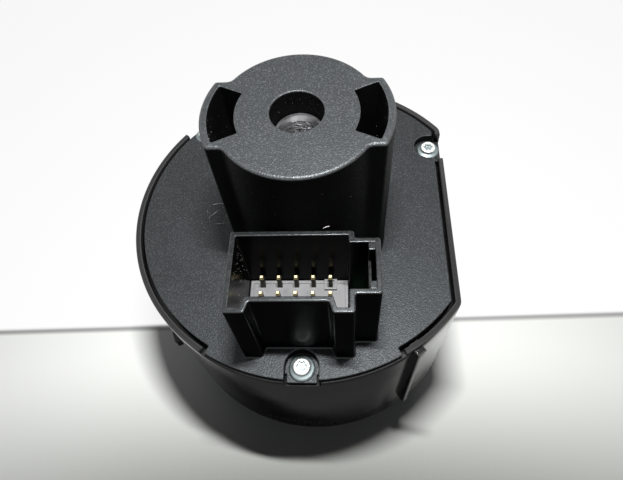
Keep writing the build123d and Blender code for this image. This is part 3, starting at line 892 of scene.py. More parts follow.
@dataclass
class RearCover:
    """The rear cover: plate, post with its ears and pockets, plug shroud and lever guide."""

    inset: float = 1.5
    flange_inset: float = 0.2
    flange_half: float = 30.0
    flange_thick: float = 1.0
    tab_inset: float = 0.2
    tab_gap: float = 0.3
    corner: float = 0.25
    post_radius: float = 10.5
    ear_radius: float = 12.3
    ear_half: float = 5.65
    ear_corner: float = 0.5
    ear_root: float = 1.2
    pocket_inner: float = 7.9
    pocket_outer: float = 11.3
    pocket_half: float = 25.0
    pocket_depth: float = 21.0
    bore: float = 3.45
    bore_below: float = 5.0
    sunk: float = 0.6
    guide_thick: float = 0.85
    guide_web: float = 0.4
    guide_block: float = 1.1
    guide_drop: float = 3.1
    block_drop: float = 0.06
    block_proud: float = 0.02

    def plate(self) -> Solid:
        """The plate with its overlapping front sector, its open notches and their floors."""
        solid = Solid("cover_plate")
        face, back, shelf = Level.COVER_FACE, Level.COVER_BACK, Level.COVER_FACE - self.flange_thick
        lower = rise(back, shelf + OVERLAP, 0.0)
        slabs = (
            (self.flange_inset, rise(shelf, face, 0.18, heel=0.1), rise(shelf, face, 0.0)),
            (self.inset + HAIR, lower, lower),
        )
        for flange_inset, rows, hole_rows in slabs:
            outline = BODY.cover_outline(self.inset, flange_inset, self.flange_half)
            solid.shell(softened(outline, self.corner, 4, 30), rows, [(PLUG.cavity(), hole_rows, False)])
        for x, y, angle, distance in BODY.places():
            floor = turned(self.floor(angle, distance), angle, (x, y))
            solid.shell(floor, rise(back, Level.NOTCH_FLOOR, 0.12))
        return solid

    def floor(self, angle: float, distance: float) -> Array:
        """The floor of a notch and its narrower tab, with the screw at the origin.

        Args:
            angle: the direction in which the notch opens.
            distance: the screw's distance from the axis, or from the line through it along the flat.

        Returns:
            The outline, anticlockwise.
        """
        wide, narrow = BODY.notch_half + OVERLAP, BODY.notch_half - self.tab_gap
        if angle:
            step = math.sqrt((BODY.radius - self.inset) ** 2 - wide**2) - distance
            reach = math.sqrt((BODY.radius - self.tab_inset) ** 2 - narrow**2) - distance
        else:
            step, reach = BODY.flat - self.inset - distance, BODY.flat - self.tab_inset - distance
        low = np.array([(step, -wide), (step, -narrow), (reach, -narrow)])
        outline = np.concatenate([arc(AXIS, wide, 90, 270, 17), low, low[::-1] * [1, -1]])
        return softened(outline, 0.2, 4, 40)

    def post_outline(self) -> Array:
        """One quarter of the post's outline, mirrored four times.

        The quarter is the ear's arc, its rounded corner, the hollow root towards the round post,
        and the post's arc. The root's circle touches both the ear's side and the post.
        """
        big, small, corner, root = self.ear_radius, self.post_radius, self.ear_corner, self.ear_root
        corner_y, root_y = self.ear_half - corner, self.ear_half + root
        corner_x = math.sqrt((big - corner) ** 2 - corner_y**2)
        root_x = math.sqrt((small + root) ** 2 - root_y**2)
        corner_angle, root_angle = np.degrees(np.arctan2([corner_y, root_y], [corner_x, root_x]))
        part = np.concatenate([
            arc(AXIS, big, 0, corner_angle, 16)[1:-1],
            arc((corner_x, corner_y), corner, corner_angle, 90, 6),
            arc((root_x, root_y), root, -90, root_angle - 180, 9),
            arc(AXIS, small, root_angle, 90, 34)[1:-1],
        ])
        tip, top = np.array([[big, 0.0]]), np.array([[0.0, small]])
        half = np.concatenate([tip, part, top, part[::-1] * [-1, 1]])
        return np.concatenate([half, -half]) + POST

    def pocket(self, middle: float) -> Array:
        """The curved pocket in one ear, between two arcs."""
        spread = self.pocket_half
        outer = arc(AXIS, self.pocket_outer, -spread, spread, 24)
        inner = arc(AXIS, self.pocket_inner, spread, -spread, 20)
        return turned(softened(np.concatenate([outer, inner]), 0.3), middle, POST)

    def tall_post(self) -> Solid:
        """The post with its two pockets and the blind bore for the insert."""
        solid = Solid("cover_post")
        top, face = Level.POST_TOP, Level.COVER_FACE
        pockets = [(self.pocket(a), rise(top - self.pocket_depth, top, 0.12), True) for a in (0.0, 180.0)]
        floor = Level.INSERT_TOP - INSERT_LENGTH - self.bore_below
        bore = (circle(POST, self.bore, 90), rise(floor, top, 0.2), True)
        rows = rise(face - self.sunk, top, 0.4, foot=0.35, foot_level=face)
        solid.shell(self.post_outline(), rows, [*pockets, bore])
        return solid

    def shroud(self) -> Solid:
        """The plug's shroud with the lever guide inside it."""
        solid = Solid("plug_shroud")
        low, top = Level.COVER_FACE - self.sunk, Level.SHROUD_TOP
        cavity = (PLUG.cavity(), rise(low, top, 0.12), False)
        outside = rise(low, top, 0.2, foot=0.25, foot_level=Level.COVER_FACE)
        solid.shell(softened(PLUG.corners(), 0.45, 6), outside, [cavity])
        outer = PLUG.right + PLUG.channel - PLUG.wall + OVERLAP
        inner = outer - OVERLAP - self.guide_thick
        back = PLUG.back - PLUG.channel_back - PLUG.wall + OVERLAP
        front = PLUG.front + PLUG.channel_front + PLUG.wall - OVERLAP
        web = box_outline(inner, inner + self.guide_web, front, back, 0.1)
        solid.shell(web, rise(low, top - self.guide_drop, 0.12))
        block = self.guide_block + OVERLAP
        for low_y, high_y in ((front, front + block), (back - block, back)):
            outline = box_outline(inner - self.block_proud, outer, low_y, high_y, 0.15)
            solid.shell(outline, rise(low, top - self.block_drop, 0.12))
        return solid

    def build(self) -> None:
        """Makes and dresses the pieces."""
        grained = GrainedPlastic("cover_grain", 0.006, 0.01, -0.08, (0.4, 0.58), painted_glint=0.24, gloss=0.27)
        post_top = replace(grained, name="post_grain", dark=0.004, light=0.007, rough=(0.42, 0.6))
        post_top = replace(post_top, painted_glint=0.2, gloss=0.41)
        smooth = GrainedPlastic("shroud_plastic", 0.002, 0.004, -0.02, (0.26, 0.4), grain=0.4, depth=0.01)
        smooth = replace(smooth, painted_glint=0.06, dust=0.08, gloss=0.3)
        plain = replace(smooth, painted_glint=0.01, dust=0.0)
        # The upright faces get darker, duller copies of the plastic than the tops: painted shade on the
        # walls.
        walls = replace(plain, name="cover_walls_painted_shade", dark=0.0015, light=0.003, rough=(0.5, 0.65))
        walls = replace(walls, depth=0.012, gloss=0.04)
        sleek_painted_shade = replace(plain, name="shroud_walls_painted_shade", dark=0.001, light=0.002, rough=(0.19, 0.27))
        sleek_painted_shade = replace(sleek_painted_shade, depth=0.003, gloss=0.02)
        self.plate().made(grained, Body.HOUSING, "cover_plastic", ("rear_cover",), walls)
        self.tall_post().made(post_top, Body.HOUSING, "cover_plastic", sides=walls)
        self.shroud().made(smooth, Body.HOUSING, "cover_plastic", sides=sleek_painted_shade)


@dataclass
class Housing:
    """The cup-shaped housing: wall, lip, rib, lugs, bosses, hub and stops."""

    wall: float = 2.2
    lip: float = 0.9
    flange_half: float = 31.3
    flange_drop: float = 1.05
    gap_half: float = 2.85
    rib_angle: float = -55.0
    rib_width: float = 1.0
    rib_reach: float = 30.95
    rib_drop: float = 0.8
    block_width: float = 1.65
    block_height: float = 1.8
    lug_angles: Pair = (-155.0, 87.0)
    lug_half: float = 1.4
    lug_reach: float = 32.2
    lug_height: float = 2.5
    boss: float = 2.9
    boss_share: float = 0.94
    hub: float = 11.95
    hub_bore: float = 9.98
    lip_edge: float = 0.22
    root: float = 1.2
    stop_angles: Pair = (-40.9, 70.9)
    stop_half: float = 4.0
    stop_radii: Pair = (12.8, 16.5)
    stop_height: float = 0.6
    leaf_post: Quad = (-23.375, -19.575, 5.2, 9.0)

    def cup(self, solid: Solid) -> None:
        """The wall and the deck, up to the shelf on which the cover rests."""
        deep = BODY.outline(self.wall)
        holes = [(deep, rise(Level.DECK_BACK, Level.COVER_BACK, 0.0), True)]
        rows = rise(Level.DECK_FRONT, Level.COVER_BACK, 0.0, heel=0.12)
        rows[:, 0] += BODY.taper(rows[:, 1])
        solid.shell(BODY.outline(0), rows, holes)

    def lip_bar(self, solid: Solid, path: Array, top: float) -> None:
        """One length of the lip, as a rounded section carried along the body's outline.

        Args:
            solid: the piece that it is part of.
            path: points on the outline.
            top: its height.
        """
        s, c = quarter(4)
        e, low = self.lip_edge, Level.COVER_BACK - OVERLAP
        outside = np.stack([e * (1 - c), top - e + e * s], axis=1)
        inside = np.stack([self.lip - e * (1 - s), top - e + e * c], axis=1)
        section = np.concatenate([[(0, low)], outside, inside, [(self.lip, low)]])
        wear = np.concatenate([[0], 0.3 + s * c, 0.3 + s * c, [0]])
        solid.bar(path, section, wear)

    def lips(self, solid: Solid) -> None:
        """The lip's lengths between the notches and the cover's wider sector."""
        full = BODY.outline(0, 440)
        angle = np.degrees(np.arctan2(full[:, 1], full[:, 0])) % 360
        order = np.argsort(angle)
        full, angle = full[order], angle[order]
        gap = math.degrees(math.asin(self.gap_half / BODY.radius))
        side, front = BODY.screw_angles
        ends = (BODY.flat_screw[1] - self.gap_half, BODY.flat_screw[1] + self.gap_half)
        first, last = (math.degrees(math.atan2(y, BODY.flat)) for y in ends)
        top = float(Level.COVER_FACE)
        spans = [
            (last, side - gap, top),
            (side + gap, front - self.flange_half, top),
            (front - self.flange_half, front - gap, top - self.flange_drop),
            (front + gap, front + self.flange_half, top - self.flange_drop),
            (front + self.flange_half, 360 + first, top),
        ]
        wrapped = np.concatenate([full, full])
        angles = np.concatenate([angle, angle + 360])
        clear = 0.2  # degrees that an end keeps from the next point
        for start, end, height in spans:
            inside = (angles > start + clear) & (angles < end - clear)
            path = np.concatenate([[self.on_edge(start)], wrapped[inside], [self.on_edge(end)]])
            self.lip_bar(solid, path, height)

    def on_edge(self, angle: float) -> Array:
        """The point of the body's outline in one direction: r = flat / max(cos a, flat / R)."""
        ray = np.array([math.cos(math.radians(angle)), math.sin(math.radians(angle))])
        return ray * BODY.flat / max(ray[0], BODY.flat / BODY.radius)

    def outside(self, solid: Solid) -> None:
        """The upright rib and the two retaining lugs."""
        inner, half = BODY.radius - self.root, self.block_width / 2
        top = Level.COVER_FACE - self.rib_drop
        foot = top - self.block_height
        parts = (
            (self.rib_width - half, rise(Level.DECK_FRONT, foot + 2 * OVERLAP, 0.05, heel=0.1)),
            (half, rise(foot, top, 0.2, heel=0.1)),
        )
        for side, rows in parts:
            solid.shell(turned(box_outline(inner, self.rib_reach, -half, side), self.rib_angle), rows)
        for angle in self.lug_angles:
            lug = turned(box_outline(inner, self.lug_reach, -self.lug_half, self.lug_half, 0.4), angle)
            solid.shell(lug, rise(Level.DECK_FRONT, Level.DECK_FRONT + self.lug_height, 0.3, heel=0.1))

    def inside(self, solid: Solid) -> None:
        """The bosses with their shelves, the hub, the stops and the leaf's post."""
        low, top = Level.DECK_BACK - 2 * OVERLAP, float(Level.HUB_BACK)
        for x, y, _, _ in BODY.places():
            column = circle((x * self.boss_share, y * self.boss_share), self.boss, 60)
            solid.shell(column, rise(low, Level.COVER_BACK - OVERLAP, 0.1))
        solid.tube(circle(AXIS, self.hub, 120), circle(AXIS, self.hub_bore, 120), rise(low, top, 0.1))
        half, (inner, outer) = self.stop_half, self.stop_radii
        for middle in self.stop_angles:
            block = np.concatenate([arc(AXIS, outer, -half, half, 8), arc(AXIS, inner, half, -half, 8)])
            solid.shell(turned(block, middle), rise(low, top + self.stop_height, 0.1))
        solid.shell(box_outline(*self.leaf_post), rise(low, Level.LEAF_POST, 0.1))

    def build(self) -> None:
        """Makes and dresses the housing."""
        solid = Solid("housing_cup")
        self.cup(solid)
        self.lips(solid)
        self.outside(solid)
        self.inside(solid)
        polish = PolishedPlastic("housing_polish", gloss=0.22)
        walls = PolishedPlastic("housing_walls", 0.002, (0.1, 0.18))
        solid.made(polish, Body.HOUSING, "housing_plastic", ("housing_shell",), walls)


@dataclass
class Front:
    """What lies at the front of the body: the bezel and the dial with its plain marks."""

    edge: float = 1.2
    opening: float = 21.6
    seat: float = 22.3
    spigot: Pair = (1.1, 2.1)
    spigot_height: float = 1.2
    dial_inner: float = 15.8
    dial_outer: float = 22.2
    mark_angles: Quad = (60.0, 90.0, 120.0, 150.0)
    mark: Quad = (17.2, 19.8, -0.35, 0.35)
    mark_levels: Pair = (-0.06, 0.05)

    def bezel(self) -> Solid:
        """The bezel: a rounded outer edge, a stepped round opening and the spigot that enters the housing."""
        solid = Solid("bezel_ring")
        front, back, lip = Level.BEZEL_FRONT, Level.DECK_FRONT, Level.DIAL_FRONT
        step = self.seat - self.opening
        rows = np.concatenate([rise(front, lip, 0.0, heel=0.3), [(step, lip, 0), (step, back, 0)]])
        outside = rise(front, back, 0.12, heel=self.edge)
        outside[:, 0] += BODY.taper(outside[:, 1])
        solid.shell(BODY.outline(0), outside, [(circle(AXIS, self.opening, 180), rows, False)])
        outer, inner = (BODY.outline(inset) for inset in self.spigot)
        solid.tube(outer, inner, rise(back - 2 * OVERLAP, back + self.spigot_height, 0.1))
        return solid

    def dial(self) -> Solid:
        """The flat dial ring."""
        solid = Solid("dial_ring")
        outer, inner = circle(AXIS, self.dial_outer, 180), circle(AXIS, self.dial_inner, 180)
        solid.tube(outer, inner, rise(Level.DIAL_FRONT, Level.DIAL_BACK, 0.05, heel=0.05))
        return solid

    def marks(self) -> Solid:
        """A plain bar for each position of the knob, a little proud of the dial."""
        solid = Solid("dial_marks")
        low, high = (Level.DIAL_FRONT + offset for offset in self.mark_levels)
        for angle in self.mark_angles:
            solid.shell(turned(box_outline(*self.mark), angle), rise(low, high, 0.0, heel=0.03))
        return solid

    def build(self) -> None:
        """Makes and dresses the pieces."""
        satin = GrainedPlastic("bezel_satin", 0.002, 0.004, 0.0, (0.2, 0.3), grain=0.4, depth=0.003)
        satin = replace(satin, painted_glint=0.0, dust=0.0, gloss=0.2)
        self.bezel().made(satin, Body.HOUSING, "housing_plastic", ("front_bezel",))
        face = PlainPlastic("dial_black", (0.012, 0.012, 0.013), (0.02, 0.02, 0.022))
        self.dial().made(face, Body.HOUSING, "dial", ("dial_face",))
        white = PlainPlastic("dial_white", (0.62, 0.64, 0.62), (0.7, 0.71, 0.7))
        self.marks().made(white, Body.HOUSING, "dial")


@dataclass
class Fasteners:
    """The three cover screws and the threaded insert."""

    flange: float = 2.0
    flange_height: float = 0.6
    head: float = 1.3
    head_height: float = 0.75
    shank: float = 1.2
    shank_length: float = 9.0
    lobe: float = 0.78
    lobe_depth: float = 0.12
    socket_depth: float = 0.55
    around: int = 72
    insert: float = 3.4
    core: float = 2.1
    thread: float = 0.34
    pitch: float = 0.8
    lead_in: float = 0.75
    bevel: float = 0.2
    worn_above: float = 0.45

    def screws(self) -> Solid:
        """The screws: shank, flange, domed head and a socket of six lobes.

        The socket's radius at angle a is lobe * (1 + depth * cos 6a).
        """
        solid = Solid("flanged_screws")
        base = float(Level.NOTCH_FLOOR)
        foot, rim = base - self.shank_length, base + self.flange_height
        top = rim + self.head_height
        f, h, s = self.flange, self.head, self.shank
        shank = [(0.0, foot), (s * 0.6, foot), (s, foot + 0.8), (s, base)]
        flange = [(f - 0.05, base), (f, base + 0.08), (f, rim - 0.3)]
        flange += [(f - 0.08, rim - 0.16), (f - 0.3, rim - 0.04)]
        neck = [(h + 0.1, rim), (h, rim + 0.1), (h, top - 0.24)]
        dome = [(h - 0.05, top - 0.12), (h - 0.14, top - 0.04), (h - 0.28, top)]
        plain = np.array([*shank, *flange, *neck, *dome])
        angles = np.linspace(0, 2 * np.pi, self.around, endpoint=False)[:, None]
        lobes = self.lobe * (1 + self.lobe_depth * np.cos(6 * angles))
        share = np.array([1.06, 1.0, 0.96, 0.94, 0.0])
        drop = np.array([0.0, 0.05, 0.2, self.socket_depth, self.socket_depth + 0.12])
        turned_part = np.broadcast_to(plain[:, 0], (self.around, len(plain)))
        radius = np.concatenate([turned_part, lobes * share], axis=1)
        height = np.broadcast_to(np.concatenate([plain[:, 1], top - drop]), radius.shape)
        for x, y, _, _ in BODY.places():
            solid.lathe(radius, height, (x, y))
        return solid

    def sleeve(self) -> Solid:
        """The insert, with its thread and the lead-in cone above it.

        Inside, the radius is core + thread * w, with w the triangle wave of z / pitch - a / 2 pi.
        """
        solid = Solid("threaded_sleeve")
        r, bevel, top = self.insert, self.bevel, float(Level.INSERT_TOP)
        bottom = top - INSERT_LENGTH
        outer = np.array([(r - bevel, bottom), (r, bottom + bevel), (r, top - bevel), (r - bevel, top)])
        levels = np.linspace(top - 0.02, bottom, int(INSERT_LENGTH / self.pitch * 8))
        angles = np.linspace(0, 2 * np.pi, self.around, endpoint=False)[:, None]
        wave = 2 * np.abs((levels / self.pitch - angles / (2 * np.pi)) % 1 - 0.5)
        cone = self.core + self.lead_in - (top - levels)
        radius = np.maximum(self.core + self.thread * wave, cone)
        radius = np.concatenate([np.broadcast_to(outer[:, 0], (self.around, 4)), radius], axis=1)
        height = np.broadcast_to(np.concatenate([outer[:, 1], levels]), radius.shape)
        solid.lathe(radius, height, POST, ring=True)
        return solid

    def build(self) -> None:
        """Makes and dresses the pieces."""
        worn = Level.NOTCH_FLOOR + self.flange_height + self.worn_above
        zinc = Metal("zinc_plate", (0.86, 0.87, 0.84), (0.2, 0.235, 0.24), (0.42, 0.62), clean_above=worn)
        zinc = replace(zinc, stretch=(1, 1, 1))
        self.screws().made(zinc, Body.HOUSING, "screw_steel", ("cover_screws",))
        dull = Metal("insert_steel", (0.3, 0.3, 0.31), (0.15, 0.15, 0.15), (0.3, 0.36), depth=0.0)
        dull = replace(dull, stretch=(1, 1, 1))
        self.sleeve().made(dull, Body.HOUSING, "steel", ("threaded_insert",))


@dataclass
class Connector:
    """The pin header and its ten pins."""

    gap: float = 0.8
    rim: float = 0.5
    rim_height: float = 3.8
    well_depth: float = 0.15
    pitch: float = 2.54
    width: float = 0.64
    centre: Pair = (-0.9, -17.6)
    reach: float = 6.7
    tip: float = 0.4
    taper: float = 0.1
    tail: float = 0.8
    collar: Pair = (0.95, 0.85)
    collar_hole: Pair = (0.6, 0.6)
    collar_levels: Pair = (-0.5, 0.35)

    def block(self, centre: Pair, half_x: float, half_y: float, corner: float) -> Array:
        """A rectangle about a centre."""
        return box_outline(-half_x, half_x, -half_y, half_y, corner) + centre

    def header(self) -> Solid:
        """The header block with a low rim that follows the shroud and its two legs."""
        solid = Solid("header_block")
        outline = softened(shifted(PLUG.corners(with_channel=False), self.gap), 0.15)
        edge, top = self.gap + self.rim, Level.COVER_FACE + self.rim_height
        well = box_outline(PLUG.left + edge, PLUG.right - edge, PLUG.front + edge, PLUG.back - edge, 0.25)
        well = (well, rise(top - self.well_depth, top, 0.05), True)
        solid.shell(outline, rise(Level.BOARD_BACK, top, 0.1), [well])
        x, y = self.centre[0] + 2 * self.pitch, self.centre[1] + self.pitch / 2
        low, high = (top + offset for offset in self.collar_levels)
        hole = (self.block((x, y), *self.collar_hole, 0.05), rise(low, high, 0.0), False)
        solid.shell(self.block((x, y), *self.collar, 0.1), rise(low, high, 0.05), [hole])
        return solid

    def pins(self) -> Solid:
        """The square pins, with tips that narrow to a blunt end."""
        solid = Solid("square_pins")
        foot, top, half = Level.BOARD_FRONT - self.tail, Level.COVER_FACE + self.reach, self.width / 2
        ends = [(self.taper, foot, 0), (0, foot + 0.3, 0), (0, top - self.tip, 0)]
        rows = np.array([*ends, (self.taper, top - 0.06, 0), (self.taper + 0.05, top, 0)])
        for row in (-0.5, 0.5):
            for column in range(-2, 3):
                place = (self.centre[0] + column * self.pitch, self.centre[1] + row * self.pitch)
                solid.shell(self.block(place, half, half, 0.06), rows)
        return solid

    def build(self) -> None:
        """Makes and dresses the pieces."""
        pale = PlainPlastic("header_grey", (0.08, 0.08, 0.083), (0.115, 0.115, 0.118), (0.4, 0.55))
        self.header().made(pale, Body.HOUSING, "header_plastic", ("pin_header",))
        gold = Metal("gold_flash", (0.95, 0.85, 0.5), (0.8, 0.64, 0.34), (0.34, 0.48))
        # The pins' upright sides below the tips wear near-black metal as painted shade; the tops and tips
        # wear the gold.
        painted_shade_sides = Metal("pin_sides_painted_shade", (0.06, 0.055, 0.04), (0.03, 0.028, 0.022), (0.4, 0.5))
        gilt = Level.COVER_FACE + self.reach - self.tip
        self.pins().made(gold, Body.HOUSING, "gold", ("contact_pins",), painted_shade_sides, gilt)


@dataclass
class Knob:
    """The fluted knob cap."""

    radius: float = 15.0
    wall: float = 1.5
    face: float = 1.6
    edge: float = 0.8
    flutes: int = 30
    flute_depth: float = 0.35
    flute_half: float = 0.62
    flute_end: float = 9.5
    flute_fade: float = 0.9
    slot: Quad = (-0.95, 0.95, 7.45, 12.55)
    around: int = 720

    def cap(self) -> Solid:
        """The cap, open to the rear, with a slot for the pointer.

        Outside, the radius is R - inset - depth * (1 - (d / half)^2) where d, the distance from a flute's
        middle along the rim, is less than half, and the flutes fade out above the grip.
        """
        solid = Solid("knob_grip")
        rows = rise(0.0, Level.KNOB_SKIRT, 0.15, heel=self.edge)
        extra = [(0, self.flute_end - self.flute_fade * share, 0) for share in (1.0, 0.5, 0.0)]
        split = np.searchsorted(rows[:, 1], self.flute_end)
        rows = np.concatenate([rows[:split], extra, rows[split:]])
        angles = np.linspace(0, 2 * np.pi, self.around, endpoint=False)
        step = 2 * np.pi / self.flutes
        d = np.abs((angles + step / 2) % step - step / 2) * self.radius
        flute = np.clip(1 - (d / self.flute_half) ** 2, 0, 1)[:, None]
        fade = np.clip((self.flute_end - rows[:, 1]) / self.flute_fade, 0, 1)
        fade = fade * np.clip(rows[:, 1] / self.edge, 0, 1)
        radius = self.radius - rows[:, 0] - self.flute_depth * flute * fade
        height = np.broadcast_to(rows[:, 1], radius.shape)
        solid.lathe(radius, height, AXIS, rows[:, 2])
        ray = np.stack([np.cos(angles), np.sin(angles)], axis=1)
        outer = [radius[:, [k]] * ray for k in (0, -1)]
        slot_low, slot_high = solid.wall(box_outline(*self.slot, 0.1)[::-1], rise(0.0, self.face, 0.0))
        bore = circle(AXIS, self.radius - self.wall, 180)[::-1]
        inner_low, inner_high = solid.wall(bore, rise(self.face, Level.KNOB_SKIRT, 0.1))
        solid.cap([outer[0], slot_low], 0.0, False)
        solid.cap([inner_low, slot_high], self.face, True)
        solid.cap([outer[1], inner_high], Level.KNOB_SKIRT, True)
        return solid

    def build(self) -> None:
        """Makes and dresses the cap."""
        satin = GrainedPlastic("knob_satin", 0.004, 0.008, 0.0, (0.34, 0.46), grain=0.4, depth=0.008)
        satin = replace(satin, painted_glint=0.1, dust=0.05)
        self.cap().made(satin, Body.KNOB, "knob_plastic", ("knob_cap",))


@dataclass
class Dust:
    """Specks in the shroud, the pockets and the bore, and a few pale fibres by the post."""

    seed: int = 7
    fibre: float = 0.045

    def specks(self) -> Solid:
        """Small eight-sided grains, scattered on the surfaces that hold dust."""
        draw = np.random.default_rng(self.seed)
        # Number of grains, their range along each axis, and their size.
        beds = [
            (46, (-8.03, -8.0), (-22.0, -15.8), (50.0, 61.0), 0.03),
            (26, (-11.0, -8.4), (-6.5, -2.0), (51.6, 51.65), 0.06),
            (30, (9.6, 12.2), (-6.5, -2.0), (51.6, 51.65), 0.06),
            (30, (-18.5, -12.5), (-4.5, 1.5), (44.5, 44.55), 0.06),
            (40, (-24.0, 20.0), (-22.0, 20.0), (44.5, 44.53), 0.04),
        ]
        # Number of grains, radius and angles about the post's axis, heights, and size.
        walls = [
            (18, 3.42, (35, 145), (69.2, 72.2), 0.025),
            (60, 11.28, (-20, 24), (60.0, 72.0), 0.03),
            (44, 11.28, (158, 200), (60.0, 72.0), 0.03),
            (26, 10.53, (225, 315), (50.0, 70.0), 0.025),
        ]
        base = np.array([(1, 0, 0), (-1, 0, 0), (0, 1, 0), (0, -1, 0), (0, 0, 1), (0, 0, -1)], float)
        above = np.array([(0, 2, 4), (2, 1, 4), (1, 3, 4), (3, 0, 4)])
        below = np.array([(2, 0, 5), (1, 2, 5), (3, 1, 5), (0, 3, 5)])
        sides = np.concatenate([above, below])
        solid = Solid("dust_specks")
        middles = []
        for count, *ranges, size in beds:
            middles.append((draw.uniform(*np.transpose(ranges), (count, 3)), size))
        for count, radius, angles, heights, size in walls:
            turn = np.radians(draw.uniform(*angles, count))
            x, y = POST[0] + radius * np.cos(turn), POST[1] + radius * np.sin(turn)
            middles.append((np.stack([x, y, draw.uniform(*heights, count)], axis=1), size))
        for middle, size in middles:
            shape = size * draw.uniform(0.4, 1.3, (len(middle), 1, 3))
            points = middle[:, None] + base[None] * shape
            faces = sides[None] + 6 * np.arange(len(middle))[:, None, None]
            solid.add(points.reshape(-1, 3), 0.0, faces.reshape(-1, 3))
        return solid

    def fibres(self) -> Solid:
        """Thin bent fibres.

        Each follows start + t * reach + sway * sin(2.6 t) * side + lift * sin(pi t) * up, with a round
        section that narrows to a point at both ends.
        """
        draw = np.random.default_rng(self.seed + 1)
        # Start, reach, sway and lift of each fibre.
        rows = [
            ((-17.4, -1.6, 44.55), (3.2, 3.4, 0.3), 0.9, 0.8),
            ((-17.0, 1.2, 44.55), (4.6, -2.4, 0.3), -0.8, 0.7),
            ((-14.8, -3.2, 44.55), (1.0, 4.2, 0.5), 0.8, 0.9),
            ((-16.4, -2.8, 44.55), (4.4, 0.4, 0.2), 0.7, 0.9),
            ((-13.6, -2.2, 44.55), (1.4, 2.6, 1.2), -0.5, 0.6),
            ((3.5, -14.4, 61.42), (0.9, 0.3, 0.2), 0.15, 0.25),
        ]
        solid = Solid("lint_fibres")
        t = np.linspace(0, 1, 22)[:, None]
        turn = np.linspace(0, 2 * np.pi, 6, endpoint=False)
        for start, reach, sway, lift in rows:
            side = unit(np.cross(reach, (0, 0, 1.0)))
            bend = sway * np.sin(2.6 * t * draw.uniform(0.8, 1.2)) * side
            bend = bend + lift * np.sin(np.pi * t) * np.array([0, 0, 1.0])
            line = np.array(start) + t * np.array(reach) + bend
            along = unit(np.gradient(line, axis=0))
            across = unit(np.cross(along, side))
            third = np.cross(along, across)
            thick = self.fibre * np.sin(np.pi * t[1:-1]) ** 0.3
            thick = np.pad(thick, ((1, 1), (0, 0)))
            ring = across[:, None] * np.cos(turn)[:, None] + third[:, None] * np.sin(turn)[:, None]
            solid.grid(np.swapaxes(line[:, None] + thick[:, None] * ring, 0, 1))
        return solid

    def build(self) -> None:
        """Makes and dresses the dust."""
        pale = Lint()
        self.specks().made(pale, Body.HOUSING, "cover_plastic")
        self.fibres().made(pale, Body.HOUSING, "cover_plastic")


@dataclass
class InnerNodes:
    """The carried-over CAD nodes and their finishes."""

    def finishes(self) -> list[tuple[Finish, tuple[str, ...]]]:
        """Each finish with the CAD nodes that wear it."""
        glow = PlainPlastic("light_guide", (0.8, 0.82, 0.84), (0.86, 0.87, 0.88), (0.05, 0.14), clear=0.8)
        lens = PlainPlastic("pointer_white", (0.7, 0.68, 0.62), (0.78, 0.76, 0.7), (0.12, 0.2), clear=0.3)
        lamp = PlainPlastic("lamp_yellow", (0.62, 0.55, 0.2), (0.7, 0.62, 0.26), (0.2, 0.3))
        white = PlainPlastic("bearing_white", (0.62, 0.61, 0.56), (0.72, 0.71, 0.66))
        black = PlainPlastic("part_black", (0.012, 0.012, 0.013), (0.025, 0.025, 0.027))
        bush = PlainPlastic("bush_ivory", (0.5, 0.47, 0.38), (0.58, 0.55, 0.45))
        spring = Metal("spring_steel", (0.62, 0.62, 0.6), (0.42, 0.42, 0.42))
        brass = Metal("brass", (0.78, 0.58, 0.28), (0.55, 0.38, 0.17))
        steel = Metal("turned_steel", (0.66, 0.66, 0.66), (0.45, 0.46, 0.47))
        return [
            (BoardFinish(), ("circuit_board",)),
            (lamp, ("board_lamps",)),
            (black, ("board_components", "fog_switch")),
            (bush, ("bearing_bush",)),
            (spring, ("detent_leaf", "rotor_retainer", "pull_wire")),
            (brass, ("leaf_rivet", "wiper_contacts")),
            (glow, ("light_guide",)),
            (white, ("rotor",)),
            (steel, ("knob_core", "shaft_washer")),
            (lens, ("pointer_lens",)),
        ]

    def build(self) -> None:
        """Dresses the nodes through their own material slots."""
        for finish, names in self.finishes():
            material = finish.material()
            for name in names:
                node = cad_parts[name]
                if not node.material_slots:
                    node.data.materials.append(material)
                for place in node.material_slots:
                    place.material = material
                LOG.info("%s: dressed with %s", name, material.name)


